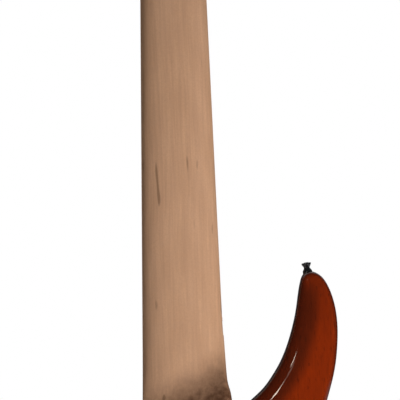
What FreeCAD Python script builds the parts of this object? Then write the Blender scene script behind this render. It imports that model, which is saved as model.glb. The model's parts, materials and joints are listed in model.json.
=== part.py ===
"""Six-string electric bass with a through neck, standing on end with its headstock up.

Millimetres. +Z runs up the neck along the centre line, +Y points out of the front (the strings),
-Y out of the back, and +X towards the long upper horn. The origin is on the centre line, at mid
thickness, on the tail end of the body where the lower strap button is seated.
"""
import FreeCAD, Part

import math
import os

V = FreeCAD.Vector
X, Y, Z = V(1, 0, 0), V(0, 1, 0), V(0, 0, 1)

# ---- strings and scale -----------------------------------------------------------------------
SCALE_LENGTH = 864.0          # nut to saddle
SADDLE_Z = 90.0               # height of the treble saddle's crest
NUT_Z = SADDLE_Z + SCALE_LENGTH
STRING_R = [1.65, 1.27, 1.02, 0.76, 0.57, 0.42]   # bass side (+X) first
STRINGS = len(STRING_R)
NUT_PITCH = 9.1               # string to string at the nut
SADDLE_PITCH = 16.8           # string to string at the bridge
CREST_Y = 35.5                # underside of a centre string where it crosses its saddle
NUT_SLOT_Y = 30.6             # underside of a centre string where it crosses the nut
COMPENSATION = [5.0, 3.8, 2.6, 1.7, 0.9, 0.0]     # how far each saddle sits behind the treble one
TOUCH = 0.03                  # gap left where one piece just rests on another
STRING_PLAY = 0.1             # round a string where it passes through a piece

# ---- neck --------------------------------------------------------------------------------------
NUT_WIDTH = 54.0
NECK_TAPER = 0.0424           # width gained for each millimetre towards the tail
GLUE_Y = 22.5                 # plane between the neck and the fingerboard
BOARD_THICK = 6.5
BOARD_RADIUS = 508.0          # the playing surface is a slice of this cylinder
FRETS = 24
BOARD_END_Z = SADDLE_Z + SCALE_LENGTH * 2 ** (-FRETS / 12) - 8.0    # 8 past the last fret
FRET_WIDTH, FRET_HEIGHT = 2.6, 1.2
TANG_WIDTH, TANG_DEPTH = 0.6, 1.8
NUT_THICK = 6.0
NECK_DEPTH_NUT = 14.5         # wood under the fingerboard at the nut
NECK_DEPTH_GAIN = 0.0051      # and what it gains for each millimetre towards the body
NECK_ROUND = 2.3              # exponent of the neck's rounded back
ROD_WIDTH, ROD_DEPTH = 6.0, 11.5
ROD_LOW_Z, ROD_TOP_Z = BOARD_END_Z + 34.0, NUT_Z - 4.0
ROD_PLAY = 0.1

# ---- headstock, in its own frame: x across, y out of its face, z along it ----------------------
HEAD_TILT = 10.0
HEAD_FACE_Y = 22.0            # its face at the nut
HEAD_THICK = 15.0
HEAD_HALF = [(27.2, -3.0), (31.0, 8.0), (43.5, 23.0), (46.5, 40.0), (43.0, 84.0), (38.5, 126.0)]
HEAD_TIP = [(38.5, 126.0), (34.0, 144.0), (19.0, 151.0), (0.0, 155.0)]
POSTS = [(29.5, 40.0), (25.5, 82.0), (21.5, 124.0)]   # from the outer string to the inner one

# ---- tuning machines, in a frame at the post's centre on the headstock's back face --------------
GEAR_TEETH = 20
WORM_PITCH = 2.67
GEAR_PITCH_R = GEAR_TEETH * WORM_PITCH / (2 * math.pi)
WORM_PITCH_R = 3.5
TOOTH_ADD, TOOTH_DED = 0.7, 0.9
FLANK = math.radians(20)
THREAD_WIDTH = 0.95           # worm thread at its pitch radius
SLOT_WIDTH = 1.6              # gap between wheel teeth at their pitch radius
GEAR_THICK = 4.4
WORM_TURNS = 4
POST_R, POST_WAIST_R = 5.0, 4.2
POST_REACH = 17.0             # post above the headstock's face
WRAP_LOW = 6.2                # first turn of string above the headstock's face
PLATE_THICK = 1.6
SHAFT_R = 2.0
SHAFT_PLAY = 0.06
LUG_IN, LUG_OUT = 6.8, 9.6
HOLE_R = 7.0                  # hole through the headstock
KEY_START, KEY_LENGTH, KEY_HALF = 20.5, 19.0, 11.5
KEY_THICK = 4.4

# ---- body --------------------------------------------------------------------------------------
BODY_HALF = 19.0              # half of its thickness
RIM_R = 6.0                   # rounding of its front and back rims
UPPER_TOP_Z = 310.5           # where the long-horn wing leaves the neck
UPPER_EDGE = [(46.0, 309.6), (52.0, 309.6), (58.0, 312.2), (64.3, 317.0),
              (75.7, 327.3), (84.4, 338.7), (91.9, 350.5), (99.5, 367.2), (105.2, 384.4),
              (109.4, 401.7), (112.3, 419.0), (114.9, 430.2), (118.2, 436.3), (123.2, 438.3),
              (129.0, 437.6), (134.8, 434.0), (139.8, 427.0), (143.9, 417.5), (147.2, 405.0),
              (149.1, 387.0), (148.4, 367.0), (145.2, 344.0), (139.0, 321.0), (128.5, 285.0),
              (120.5, 246.0), (119.5, 208.0), (128.5, 168.0), (146.0, 128.0), (157.5, 92.0),
              (154.5, 55.0), (134.0, 22.0), (96.0, 5.5)]
LIP_EDGE = [(46.6, 306.0), (46.0, 317.0), (45.2, 322.5), (43.5, 328.2), (42.4, 334.0),
            (41.6, 343.0), (40.9, 357.0), (40.1, 375.0), (39.3, 392.0)]
LOWER_TOP_Z = 246.0
LOWER_EDGE = [(49.0, 243.4), (57.5, 246.6), (67.5, 258.5), (77.0, 276.0),
              (85.5, 293.0), (94.0, 304.0), (103.5, 306.0), (113.0, 299.0), (121.5, 282.0),
              (126.5, 260.0), (126.0, 230.0), (121.5, 200.0), (127.0, 163.0), (143.0, 126.0),
              (154.5, 92.0), (151.5, 55.0), (131.5, 22.0), (94.0, 5.5)]
RAMP_POINTS = [(40.0, 5.0, 349.0), (40.0, -19.0, 303.0), (-41.0, -19.0, 262.0)]
RAMP_REACH = 53.0             # how far out on the long-horn side the heel's ramp is cut
TONGUE_LOW_Z = 250.0          # the rounded neck runs on inside the heel down to here

# ---- strap buttons -----------------------------------------------------------------------------
HORN_SEAT = (122.4, 437.3)
HORN_LEAN = 8.0               # degrees that the horn's button leans towards the neck
BUTTON_BASE_R, BUTTON_WAIST_R, BUTTON_RIM_R, BUTTON_LENGTH = 4.2, 2.7, 4.6, 9.6
STRAP_SCREW_R, STRAP_SCREW_LENGTH = 1.5, 24.0

# ---- bridge: one rail for each string ------------------------------------------------------------
RAIL_WIDTH = 15.4
RAIL_LOW_Z, RAIL_TOP_Z = 44.0, 112.0
RAIL_FLOOR, RAIL_WALL, RAIL_SIDE = 2.5, 1.9, 9.0
ANCHOR_LENGTH, ANCHOR_HEIGHT = 14.0, 15.0
SADDLE_LENGTH, SADDLE_PLAY, SADDLE_LIFT = 15.0, 0.25, 2.4
SADDLE_TRAVEL = 5.0
INTONATION_R, INTONATION_PLAY = 1.4, 0.12
GRUB_R = 1.5
RAIL_SCREW_R = 1.7

# ---- pickups -------------------------------------------------------------------------------------
PICKUP_Z = {"bridge": 148.0, "neck": 226.0}
PICKUP_WIDTH, PICKUP_LENGTH = 107.0, 38.0
PICKUP_TOP, PICKUP_BOTTOM = 29.6, 6.0
PICKUP_WALL = 1.6
PICKUP_CORNER = 4.0
CAVITY_PLAY, CAVITY_FLOOR_Y = 0.6, -2.0
PICKUP_SCREW = (49.0, 14.5)   # offset of each corner screw from the middle
PICKUP_SCREW_R = 1.4
PICKUP_SCREW_LENGTH = 34.0

# ---- controls ------------------------------------------------------------------------------------
KNOBS = {"volume": (-102.0, 153.0), "blend": (-113.0, 126.0), "bass": (-118.0, 97.0),
         "treble": (-108.0, 69.0)}
SWITCH_AT = (-88.0, 116.0)
KNOB_R, KNOB_HEIGHT, KNOB_GAP = 8.8, 14.0, 2.6
POT_R, POT_HEIGHT, POT_BUSH_R, POT_SHAFT_R = 8.3, 9.0, 3.7, 3.0
POT_NUT_R, POT_NUT_THICK = 5.6, 1.8
TOP_SKIN = 5.5                # wood left in front of the control cavity
CONTROL_BOX = (-139.0, -66.0, 50.0, 170.0)     # low x, high x, low z, high z
ROOM_WALL = 14.0              # least wood left round the control cavity
COVER_LEDGE, COVER_THICK, COVER_CORNER, COVER_PLAY = 6.0, 2.0, 12.0, 0.3
COVER_SINK, BEZEL_SINK = 0.35, 0.55            # how far their screw heads are let in
JACK_Z, JACK_R, JACK_BORE_R, JACK_FLANGE_R = 76.0, 5.5, 3.2, 9.0
JACK_FACE_X = -151.5
JACK_LENGTH = 22.0
JACK_SPOT_R = 10.0
BATTERY_AT = (98.0, 92.0)
BATTERY = (26.0, 17.0, 48.0)
BOX_SIZE = (36.0, 24.0, 62.0) # across, deep, long
BEZEL, BEZEL_THICK, BOX_WALL = 4.0, 1.6, 1.4
SMALL_SCREW_R, SMALL_HEAD_R = 1.3, 2.6
DRILL_PLAY = 0.05


# ---- helpers -------------------------------------------------------------------------------------
def box(x0, x1, y0, y1, z0, z1):
    return Part.makeBox(x1 - x0, y1 - y0, z1 - z0, V(x0, y0, z0))


def rod(radius, start, direction, length):
    return Part.makeCylinder(radius, length, start, direction)


def fuse(shapes):
    return shapes[0].multiFuse(shapes[1:]).removeSplitter() if len(shapes) > 1 else shapes[0]


def plate(points, y0, y1):
    """A straight-sided plate whose outline lies in the XZ plane."""
    wire = Part.makePolygon([V(x, y0, z) for x, z in points + points[:1]])
    return Part.Face(wire).extrude(V(0, y1 - y0, 0))


def round_plate(x0, x1, z0, z1, corner, y0, y1):
    """A rectangular plate with rounded corners."""
    solid = box(x0, x1, y0, y1, z0, z1)
    upright = [e for e in solid.Edges if abs(e.tangentAt(e.FirstParameter).y) > 0.9]
    return solid.makeFillet(corner, upright)


def turned(profile, base, axis):
    """A turned piece: profile lists (radius, height) up its axis."""
    ring = [V(r, 0, h) for r, h in profile]
    solid = Part.Face(Part.makePolygon(ring + ring[:1])).revolve(V(0, 0, 0), Z, 360)
    solid.Placement = FreeCAD.Placement(base, FreeCAD.Rotation(Z, axis))
    return solid


def curve_edge(points):
    curve = Part.BSplineCurve()
    curve.interpolate([V(x, 0, z) for x, z in points])
    return curve.toShape()


def half_width(z):
    """Half of the neck blank's width at a height; its sides are straight from nut to tail."""
    return (NUT_WIDTH + NECK_TAPER * (NUT_Z - z)) / 2


def board_drop(x):
    """How far the playing surface falls away from its middle at a distance x across it."""
    return BOARD_RADIUS - math.sqrt(BOARD_RADIUS ** 2 - x * x)


def string_x(i, z):
    """Where string i lies across the instrument at a height z."""
    place = (STRINGS - 1) / 2 - i
    share = (NUT_Z - z) / SCALE_LENGTH
    return place * (NUT_PITCH + (SADDLE_PITCH - NUT_PITCH) * share)


def saddle_z(i):
    return SADDLE_Z - COMPENSATION[i]


def crest_y(i):
    """Height of string i's underside at its saddle."""
    return CREST_Y - board_drop(string_x(i, saddle_z(i)))


def nut_y(i):
    """Height of string i's underside at the nut."""
    return NUT_SLOT_Y - board_drop(string_x(i, NUT_Z))


def fret_z(n):
    return NUT_Z - SCALE_LENGTH * (1 - 2 ** (-n / 12))


def on_head(shape):
    """Carries a shape from the headstock's own frame into the instrument's."""
    shape = shape.copy()
    shape.rotate(V(0, 0, 0), X, HEAD_TILT)
    shape.translate(V(0, HEAD_FACE_Y, NUT_Z + NUT_THICK / 2))
    return shape


def on_machine(shape, n):
    """Carries a shape from tuning machine n's frame into the instrument's. Machines 0 to 2 are on the
    long-horn side and 3 to 5 are their mirror images."""
    x, z = POSTS[n % 3]
    shape = shape.copy()
    shape.translate(V(x, -HEAD_THICK, z))
    shape = on_head(shape)
    return shape if n < 3 else shape.mirror(V(0, 0, 0), X)


def machine_of_string(i):
    """Bass strings go to machines 0, 1, 2 and treble strings to 5, 4, 3."""
    return i if i < 3 else STRINGS + 2 - i


# ---- body woods ----------------------------------------------------------------------------------
def wing_outline(edge, top_z, side):
    """The wing's free edge, from where it leaves the neck blank round to the tail."""
    ends = [(half_width(top_z), top_z), *edge, (half_width(0), 0.0)]
    return [(x * side, z) for x, z in ends]


def wing_blank(outline):
    """A side wing: a slab with rounded rims, glued to the neck blank along its straight side."""
    curve = curve_edge(outline)
    glue = Part.makeLine(V(*_at(outline[-1])), V(*_at(outline[0])))
    face = Part.Face(Part.Wire([curve, glue]))
    face.translate(V(0, -BODY_HALF, 0))
    slab = face.extrude(V(0, 2 * BODY_HALF, 0))
    rims = [e for e in slab.Edges if isinstance(e.Curve, Part.BSplineCurve)
            and abs(abs(e.valueAt(e.FirstParameter).y) - BODY_HALF) < 1e-6
            and abs(e.valueAt(e.FirstParameter).y - e.valueAt(e.LastParameter).y) < 1e-6]
    return slab.makeFillet(RIM_R, rims)


def _at(point):
    return (point[0], 0.0, point[1])


def ramp_cutter(low_x, high_x):
    """The wood taken away behind the heel: everything behind a slanting plane."""
    a, b, c = (V(*p) for p in RAMP_POINTS)
    normal = (b - a).cross(c - a).normalize()
    if normal.y > 0:
        normal = normal * -1
    slab = Part.makeBox(400, 400, 200, V(-200, -200, 0))
    slab.Placement = FreeCAD.Placement((a + b) * 0.5, FreeCAD.Rotation(Z, normal))
    return slab.common(box(low_x, high_x, -60, 60, 240, 460))


def pickup_pocket(z):
    return round_plate(-PICKUP_WIDTH / 2 - CAVITY_PLAY, PICKUP_WIDTH / 2 + CAVITY_PLAY,
                       z - PICKUP_LENGTH / 2 - CAVITY_PLAY, z + PICKUP_LENGTH / 2 + CAVITY_PLAY,
                       PICKUP_CORNER + CAVITY_PLAY, CAVITY_FLOOR_Y, BODY_HALF + 20)


def pickup_screw_holes(z):
    dx, dz = PICKUP_SCREW
    low = PICKUP_TOP - PICKUP_SCREW_LENGTH - 3
    return [rod(PICKUP_SCREW_R + DRILL_PLAY, V(sx * dx, low, z + sz * dz), Y, 40)
            for sx in (-1, 1) for sz in (-1, 1)]


def wire_ways():
    """Drilled ways for the wires: controls to bridge pickup, on to the neck pickup, and to the battery."""
    deep = CAVITY_FLOOR_Y + 4.5
    x1 = CONTROL_BOX[1]
    z_bridge, z_neck = PICKUP_Z["bridge"], PICKUP_Z["neck"]
    gap = PICKUP_LENGTH / 2
    return [rod(3.0, V(x1 - 8, deep, z_bridge), X, -x1 + 8 - PICKUP_WIDTH / 2 + 6),
            rod(3.0, V(-30, deep, z_bridge + gap - 4), Z, z_neck - z_bridge - 2 * gap + 8),
            rod(3.0, V(x1 - 6, deep - 6, BATTERY_AT[1] - 10), X, BATTERY_AT[0] - x1 - 6)]


def neck_section(z, exponent, width, depth, points=17):
    """The neck's cross-section at a height: a flat face under the fingerboard and a rounded back."""
    back = []
    for k in range(points):
        a = math.pi * k / (points - 1)
        c, s = math.cos(a), math.sin(a)
        x = width * math.copysign(abs(c) ** (2 / exponent), c)
        back.append(V(x, GLUE_Y - depth * abs(s) ** (2 / exponent), z))
    curve = Part.BSplineCurve()
    curve.interpolate(back, InitialTangent=V(0, -1, 0), FinalTangent=V(0, 1, 0))
    return Part.Wire([curve.toShape(), Part.makeLine(back[-1], back[0])])


def neck_depth(z):
    return NECK_DEPTH_NUT + NECK_DEPTH_GAIN * (NUT_Z - z)


def head_slab():
    right = curve_edge(HEAD_HALF)
    tip_r = curve_edge(HEAD_TIP)
    mirror = [e.mirror(V(0, 0, 0), X) for e in (right, tip_r)]
    low = Part.makeLine(V(*_at(HEAD_HALF[0])), V(-HEAD_HALF[0][0], 0, HEAD_HALF[0][1]))
    edges = Part.sortEdges([right, tip_r, *mirror, low])[0]
    face = Part.Face(Part.Wire(edges))
    return face.extrude(V(0, -HEAD_THICK, 0))


def truss_pocket():
    """The open pocket behind the nut where a key reaches the truss rod."""
    return box(-6.5, 6.5, -12.5, 1.0, 4.0, 44.0)


def neck_core():
    top = NUT_Z + NUT_THICK
    sections = [neck_section(z, NECK_ROUND, half_width(z), neck_depth(z))
                for z in (top, fret_z(5), fret_z(12), RAMP_POINTS[0][2], TONGUE_LOW_Z)]
    neck = Part.makeLoft(sections, True, False)
    heel_top = RAMP_POINTS[0][2]
    block = plate([(-half_width(0), 0), (half_width(0), 0), (half_width(heel_top), heel_top),
                   (-half_width(heel_top), heel_top)], -BODY_HALF, BODY_HALF)
    ends = [e for e in block.Edges if abs(e.CenterOfMass.z) < 1e-6
            and abs(abs(e.CenterOfMass.y) - BODY_HALF) < 1e-6]
    block = block.makeFillet(RIM_R, ends).cut(ramp_cutter(-60, 60))
    land = plate([(-half_width(BOARD_END_Z), BOARD_END_Z), (half_width(BOARD_END_Z), BOARD_END_Z),
                  (half_width(heel_top), heel_top), (-half_width(heel_top), heel_top)],
                 BODY_HALF - 1, GLUE_Y)
    under_board = box(-60, 60, BODY_HALF, 60, 0, BOARD_END_Z)
    core = neck.cut(under_board).fuse([block, land, on_head(head_slab())])
    tools = [pickup_pocket(z) for z in PICKUP_Z.values()] + wire_ways()
    tools += [h for z in PICKUP_Z.values() for h in pickup_screw_holes(z)]
    tools.append(box(-ROD_WIDTH / 2 - ROD_PLAY, ROD_WIDTH / 2 + ROD_PLAY,
                     GLUE_Y - ROD_DEPTH - ROD_PLAY, GLUE_Y + 1, ROD_LOW_Z - 1, ROD_TOP_Z + 1))
    tools.append(on_head(truss_pocket()))
    tools.append(rod(TRUSS_NUT_R + 0.3, V(0, TRUSS_Y, ROD_TOP_Z), Z, TRUSS_NUT_LENGTH + 4))
    tools += [on_head(rod(HOLE_R, V(sx * x, 1, z), V(0, -1, 0), HEAD_THICK + 2))
              for x, z in POSTS for sx in (-1, 1)]
    tools += [on_head(s) for s in truss_cover_screws(DRILL_PLAY)]
    tools += [s for n in range(6) for s in plate_screws(n, DRILL_PLAY)]
    tools += [strap_screw(V(0, 0, 0), V(0, 0, -1), DRILL_PLAY)]
    tools += [s for s in rail_screws(DRILL_PLAY)]
    core = core.cut(tools)
    return [max(core.Solids, key=lambda s: s.Volume)]


def upper_wing():
    """The wing with the long horn, and the thin lip that runs up the side of the neck."""
    wing = wing_blank(wing_outline(UPPER_EDGE, UPPER_TOP_Z, 1))
    z0, z1 = LIP_EDGE[0][1], LIP_EDGE[-1][1]
    inner = [V(half_width(z), 0, z) for z in (z1, z0)]
    ring = [curve_edge(LIP_EDGE), Part.makeLine(V(*_at(LIP_EDGE[-1])), inner[0]),
            Part.makeLine(*inner), Part.makeLine(inner[1], V(*_at(LIP_EDGE[0])))]
    lip = Part.Face(Part.Wire(ring)).extrude(V(0, BODY_HALF, 0))
    lip_back = Part.Face(Part.Wire(ring)).extrude(V(0, -BODY_HALF, 0))
    wing = wing.fuse([lip, lip_back]).removeSplitter()
    lean = horn_axis()
    seat = V(HORN_SEAT[0], 0, HORN_SEAT[1])
    x, z = BATTERY_AT
    w, d, length = BOX_SIZE
    tools = [ramp_cutter(30, RAMP_REACH), rod(BUTTON_BASE_R + 0.4, seat, lean, 12),
             strap_screw(seat, lean, DRILL_PLAY),
             box(x - w / 2 - 0.2, x + w / 2 + 0.2, -BODY_HALF - 1, -BODY_HALF + d + 0.4,
                 z - length / 2 - 0.2, z + length / 2 + 0.2),
             bezel_plate(0.2, 1.0)]
    tools += [pickup_pocket(p) for p in PICKUP_Z.values()] + wire_ways()
    tools += [h for p in PICKUP_Z.values() for h in pickup_screw_holes(p)]
    tools += battery_screws(DRILL_PLAY)
    return [max(wing.cut(tools).Solids, key=lambda s: s.Volume)]


def lower_wing():
    """The wing with the short horn, which holds the controls."""
    wing = wing_blank(wing_outline(LOWER_EDGE, LOWER_TOP_Z, -1))
    x0, x1, z0, z1 = CONTROL_BOX
    floor = BODY_HALF - TOP_SKIN
    room = round_plate(x0, x1, z0, z1, COVER_CORNER, -BODY_HALF - 1, floor)
    ledge = round_plate(x0 - COVER_LEDGE, x1 + COVER_LEDGE, z0 - COVER_LEDGE, z1 + COVER_LEDGE,
                        COVER_CORNER + COVER_LEDGE, -BODY_HALF - 1, -BODY_HALF + COVER_THICK)
    tools = [room.common(control_limit(ROOM_WALL)),
             ledge.common(control_limit(ROOM_WALL - COVER_LEDGE))]
    tools += [rod(POT_BUSH_R + DRILL_PLAY, V(x, 0, z), Y, 40) for x, z in KNOBS.values()]
    tools.append(rod(SWITCH_BUSH_R + DRILL_PLAY, V(SWITCH_AT[0], 0, SWITCH_AT[1]), Y, 40))
    tools.append(rod(JACK_R + DRILL_PLAY, V(JACK_FACE_X - 5, 0, JACK_Z), X, 40))
    tools.append(rod(JACK_SPOT_R, V(JACK_FACE_X - 20, 0, JACK_Z), X, 20))
    tools += [pickup_pocket(p) for p in PICKUP_Z.values()] + wire_ways()
    tools += [h for p in PICKUP_Z.values() for h in pickup_screw_holes(p)]
    tools += cover_screws(DRILL_PLAY)
    return [max(wing.cut(tools).Solids, key=lambda s: s.Volume)]


def inset_line(inset):
    """Points that lie a given distance inside the lower wing's curved outer edge."""
    along = curve_edge(wing_outline(LOWER_EDGE, LOWER_TOP_Z, -1)).discretize(160)
    inner = []
    for a, b, c in zip(along[:-8:4], along[4:-4:4], along[8::4]):
        across = (c - a).cross(Y).normalize() * inset
        if b.x < -95 and b.z < 215:
            inner.append(b + across if across.x > 0 else b - across)
    return inner


def control_limit(inset):
    """A prism behind the lower wing's outer edge, for keeping a wall of even thickness there."""
    inner = inset_line(inset)
    curve = Part.BSplineCurve()
    curve.interpolate(inner)
    first, last = inner[0], inner[-1]
    corners = [last, V(-50, 0, last.z), V(-50, 0, first.z), first]
    sides = [Part.makeLine(p, q) for p, q in zip(corners, corners[1:])]
    face = Part.Face(Part.Wire([curve.toShape(), *sides]))
    face.translate(V(0, -60, 0))
    return face.extrude(V(0, 120, 0))


def horn_axis():
    a = math.radians(HORN_LEAN)
    return V(-math.sin(a), 0, math.cos(a))


# ---- fingerboard ---------------------------------------------------------------------------------
def radius_solid(extra, y0):
    """A long round bar whose top is the playing surface, raised by extra."""
    top = GLUE_Y + BOARD_THICK + extra
    bar = rod(BOARD_RADIUS, V(0, top - BOARD_RADIUS, BOARD_END_Z - 10), Z, NUT_Z - BOARD_END_Z + 20)
    return bar.common(box(-60, 60, y0, top + 1, BOARD_END_Z - 10, NUT_Z + 10))


def dot_places():
    """Centres of the position dots, as (x, z)."""
    places = []
    for n in (3, 5, 7, 9, 12, 15, 17, 19, 21, 24):
        z = (fret_z(n) + fret_z(n - 1)) / 2
        places += [(-15.0, z), (15.0, z)] if n % 12 == 0 else [(0.0, z)]
    return places


def side_dot_places():
    places = []
    for n in (3, 5, 7, 9, 12, 15, 17, 19, 21, 24):
        z = (fret_z(n) + fret_z(n - 1)) / 2
        places += [z - 3, z + 3] if n % 12 == 0 else [z]
    return places


DOT_R, DOT_DEPTH, SIDE_DOT_R, SIDE_DOT_DEPTH = 3.4, 1.6, 1.1, 2.0


def dots(play):
    top = GLUE_Y + BOARD_THICK
    found = [rod(DOT_R + play, V(x, top - DOT_DEPTH - board_drop(x) - play, z), Y, DOT_DEPTH + 3)
             for x, z in dot_places()]
    found += [rod(SIDE_DOT_R + play, V(half_width(z) - SIDE_DOT_DEPTH - play, GLUE_Y + 2.6, z), X,
                  SIDE_DOT_DEPTH + play) for z in side_dot_places()]
    return found


def fingerboard():
    lo, hi = half_width(BOARD_END_Z), half_width(NUT_Z)
    board = plate([(-lo, BOARD_END_Z), (lo, BOARD_END_Z), (hi, NUT_Z), (-hi, NUT_Z)],
                  GLUE_Y, GLUE_Y + BOARD_THICK + 2)
    board = board.common(radius_solid(0, GLUE_Y - 1))
    slot = TANG_WIDTH / 2 + DRILL_PLAY
    low = GLUE_Y + BOARD_THICK - TANG_DEPTH - board_drop(lo) - 0.3
    slots = [box(-60, 60, low, 60, fret_z(n) - slot, fret_z(n) + slot) for n in range(1, FRETS + 1)]
    board = board.cut(slots).cut(dots(DRILL_PLAY / 2))
    return [max(board.Solids, key=lambda s: s.Volume)]


def frets():
    """Each fret is one strip of T-shaped wire bent to the playing surface."""
    made = []
    axis_y = GLUE_Y + BOARD_THICK - BOARD_RADIUS
    surface = BOARD_RADIUS + TOUCH / 2
    for n in range(1, FRETS + 1):
        z = fret_z(n)
        half, tang = FRET_WIDTH / 2, TANG_WIDTH / 2
        shoulder = FRET_HEIGHT * 0.45
        start = surface + axis_y
        a, b = V(0, start, z + half), V(0, start + shoulder, z + half)
        c, d = V(0, start + shoulder, z - half), V(0, start, z - half)
        crown = Part.Arc(b, V(0, start + FRET_HEIGHT, z), c).toShape()
        low = start - TANG_DEPTH
        corner = [a, V(0, start, z + tang), V(0, low, z + tang), V(0, low, z - tang),
                  V(0, start, z - tang), d]
        lines = [Part.makeLine(p, q) for p, q in zip(corner, corner[1:])]
        wire = Part.Wire(Part.sortEdges([Part.makeLine(a, b), crown, Part.makeLine(c, d), *lines])[0])
        reach = math.degrees(math.asin((half_width(z) - 0.3) / BOARD_RADIUS))
        face = Part.Face(wire)
        face.rotate(V(0, axis_y, 0), Z, -reach)
        made.append(face.revolve(V(0, axis_y, 0), Z, 2 * reach))
    return made


def position_dots():
    return [d.common(radius_solid(0, GLUE_Y)).Solids[0] for d in dots(0)]


def string_slot(start, along, radius):
    """A round-bottomed slot, open upwards, that follows a string from start."""
    side = [V(-radius, 0, 0), V(radius, 0, 0), V(radius, 15, 0), V(-radius, 15, 0)]
    walls = Part.Face(Part.makePolygon([start + p for p in side + side[:1]])).extrude(along)
    return walls.fuse([rod(radius, start, along, along.Length), Part.makeSphere(radius, start)])


def string_nut():
    w = NUT_WIDTH / 2
    low, high = NUT_Z, NUT_Z + NUT_THICK
    top = NUT_SLOT_Y + 1.1
    seat = GLUE_Y + TOUCH
    side = [V(-w, seat, low), V(-w, seat, high), V(-w, top - 2.6, high), V(-w, top, low + 1.5),
            V(-w, top, low)]
    block = Part.Face(Part.makePolygon(side + side[:1])).extrude(V(2 * w, 0, 0))
    crown = rod(BOARD_RADIUS, V(0, top - BOARD_RADIUS, low - 1), Z, NUT_THICK + 2)
    block = block.common(crown)
    cuts = []
    for i, r in enumerate(STRING_R):
        bend, knee, end = string_points(i)[1:]
        cuts += [string_slot(knee, (p - knee).normalize() * 12, r + STRING_PLAY) for p in (bend, end)]
    return [block.cut(cuts)]


# ---- truss rod -----------------------------------------------------------------------------------
def truss_rod():
    w, top = ROD_WIDTH / 2, GLUE_Y - 0.2
    bar = box(-w, w, GLUE_Y - ROD_DEPTH, top, ROD_LOW_Z, ROD_TOP_Z)
    slot = box(-w - 1, w + 1, GLUE_Y - ROD_DEPTH + 4.4, GLUE_Y - ROD_DEPTH + 4.9, ROD_LOW_Z + 8,
               ROD_TOP_Z - 8)
    spindle = rod(TRUSS_STUB_R, V(0, TRUSS_Y, ROD_TOP_Z), Z, TRUSS_STUB_LENGTH)
    return [bar.cut(slot).fuse(spindle)]


TRUSS_Y = GLUE_Y - ROD_DEPTH + 3.0
TRUSS_STUB_R, TRUSS_STUB_LENGTH = 1.8, 7.0
TRUSS_NUT_R, TRUSS_NUT_LENGTH, TRUSS_KEY_R = 3.9, 14.0, 2.3


def hexagon(radius, base, length):
    ring = [base + V(radius * math.cos(math.radians(60 * k)), radius * math.sin(math.radians(60 * k)), 0)
            for k in range(6)]
    return Part.Face(Part.makePolygon(ring + ring[:1])).extrude(V(0, 0, length))


def truss_nut():
    base = V(0, TRUSS_Y, ROD_TOP_Z + 0.4)
    barrel = rod(TRUSS_NUT_R, base, Z, TRUSS_NUT_LENGTH)
    socket = hexagon(TRUSS_KEY_R, base + V(0, 0, TRUSS_NUT_LENGTH - 5), 6)
    hollow = rod(TRUSS_STUB_R + SHAFT_PLAY, base - V(0, 0, 1), Z, TRUSS_STUB_LENGTH + 1.5)
    return [barrel.cut([socket, hollow])]


COVER_SCREWS = [(0.0, 47.5), (-9.3, 8.0), (9.3, 8.0)]


def truss_cover_screws(play=0.0):
    return [round_screw(V(x, 1.5, z), V(0, -1, 0), 1.0, 2.0, 8.0, play) for x, z in COVER_SCREWS]


def round_screw(seat, direction, shank, head, length, play=0.0):
    """A domed wood screw with a cross cut in its head; play makes it the drill for its own hole."""
    if play:
        return rod(shank + play, seat + direction * -3, direction, length + 3 + play)
    height = head * 0.55
    profile = [(0, -length), (shank * 0.3, -length), (shank, -length + 2 * shank), (shank, 0),
               (head, 0), (head * 0.86, height * 0.6), (head * 0.5, height * 0.95), (0, height)]
    body = turned(profile, seat, direction * -1)
    arm, deep = head * 0.62, height * 0.5
    cross = [box(-arm, arm, -0.22 * head, 0.22 * head, height - deep, height + 1),
             box(-0.22 * head, 0.22 * head, -arm, arm, height - deep, height + 1)]
    for c in cross:
        c.Placement = FreeCAD.Placement(seat, FreeCAD.Rotation(Z, direction * -1))
    return body.cut(cross)


def truss_cover():
    outline = [(-12, 3.4), (12, 3.4), (12, 12), (5.5, 50), (0, 52.5), (-5.5, 50), (-12, 12)]
    cover = plate(outline, TOUCH, 1.5 - TOUCH)
    holes = [rod(1.0 + DRILL_PLAY, V(x, -1, z), Y, 4) for x, z in COVER_SCREWS]
    return [on_head(cover.cut(holes))]


# ---- tuning machines -----------------------------------------------------------------------------
WORM_Z = GEAR_PITCH_R + WORM_PITCH_R
WORM_Y = -(PLATE_THICK + WORM_PITCH_R + TOOTH_ADD + 0.35)
GEAR_DROP = -WORM_Y - GEAR_THICK / 2     # from the headstock's back to the wheel's near face
PLATE_X, PLATE_LOW, PLATE_HIGH = 13.5, -9.5, 18.5
PLATE_SCREWS = [(-11.2, -7.0), (11.2, -7.0), (-11.2, 16.2), (11.2, 16.2)]


def plate_screws(n, play=0.0):
    """The four screws that hold tuning machine n's plate to the headstock's back."""
    made = [round_screw(V(x, -PLATE_THICK - 2 * TOUCH, z), Y, 1.0, 1.9, 8.0, play)
            for x, z in PLATE_SCREWS]
    return [on_machine(s, n) for s in made]


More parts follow.
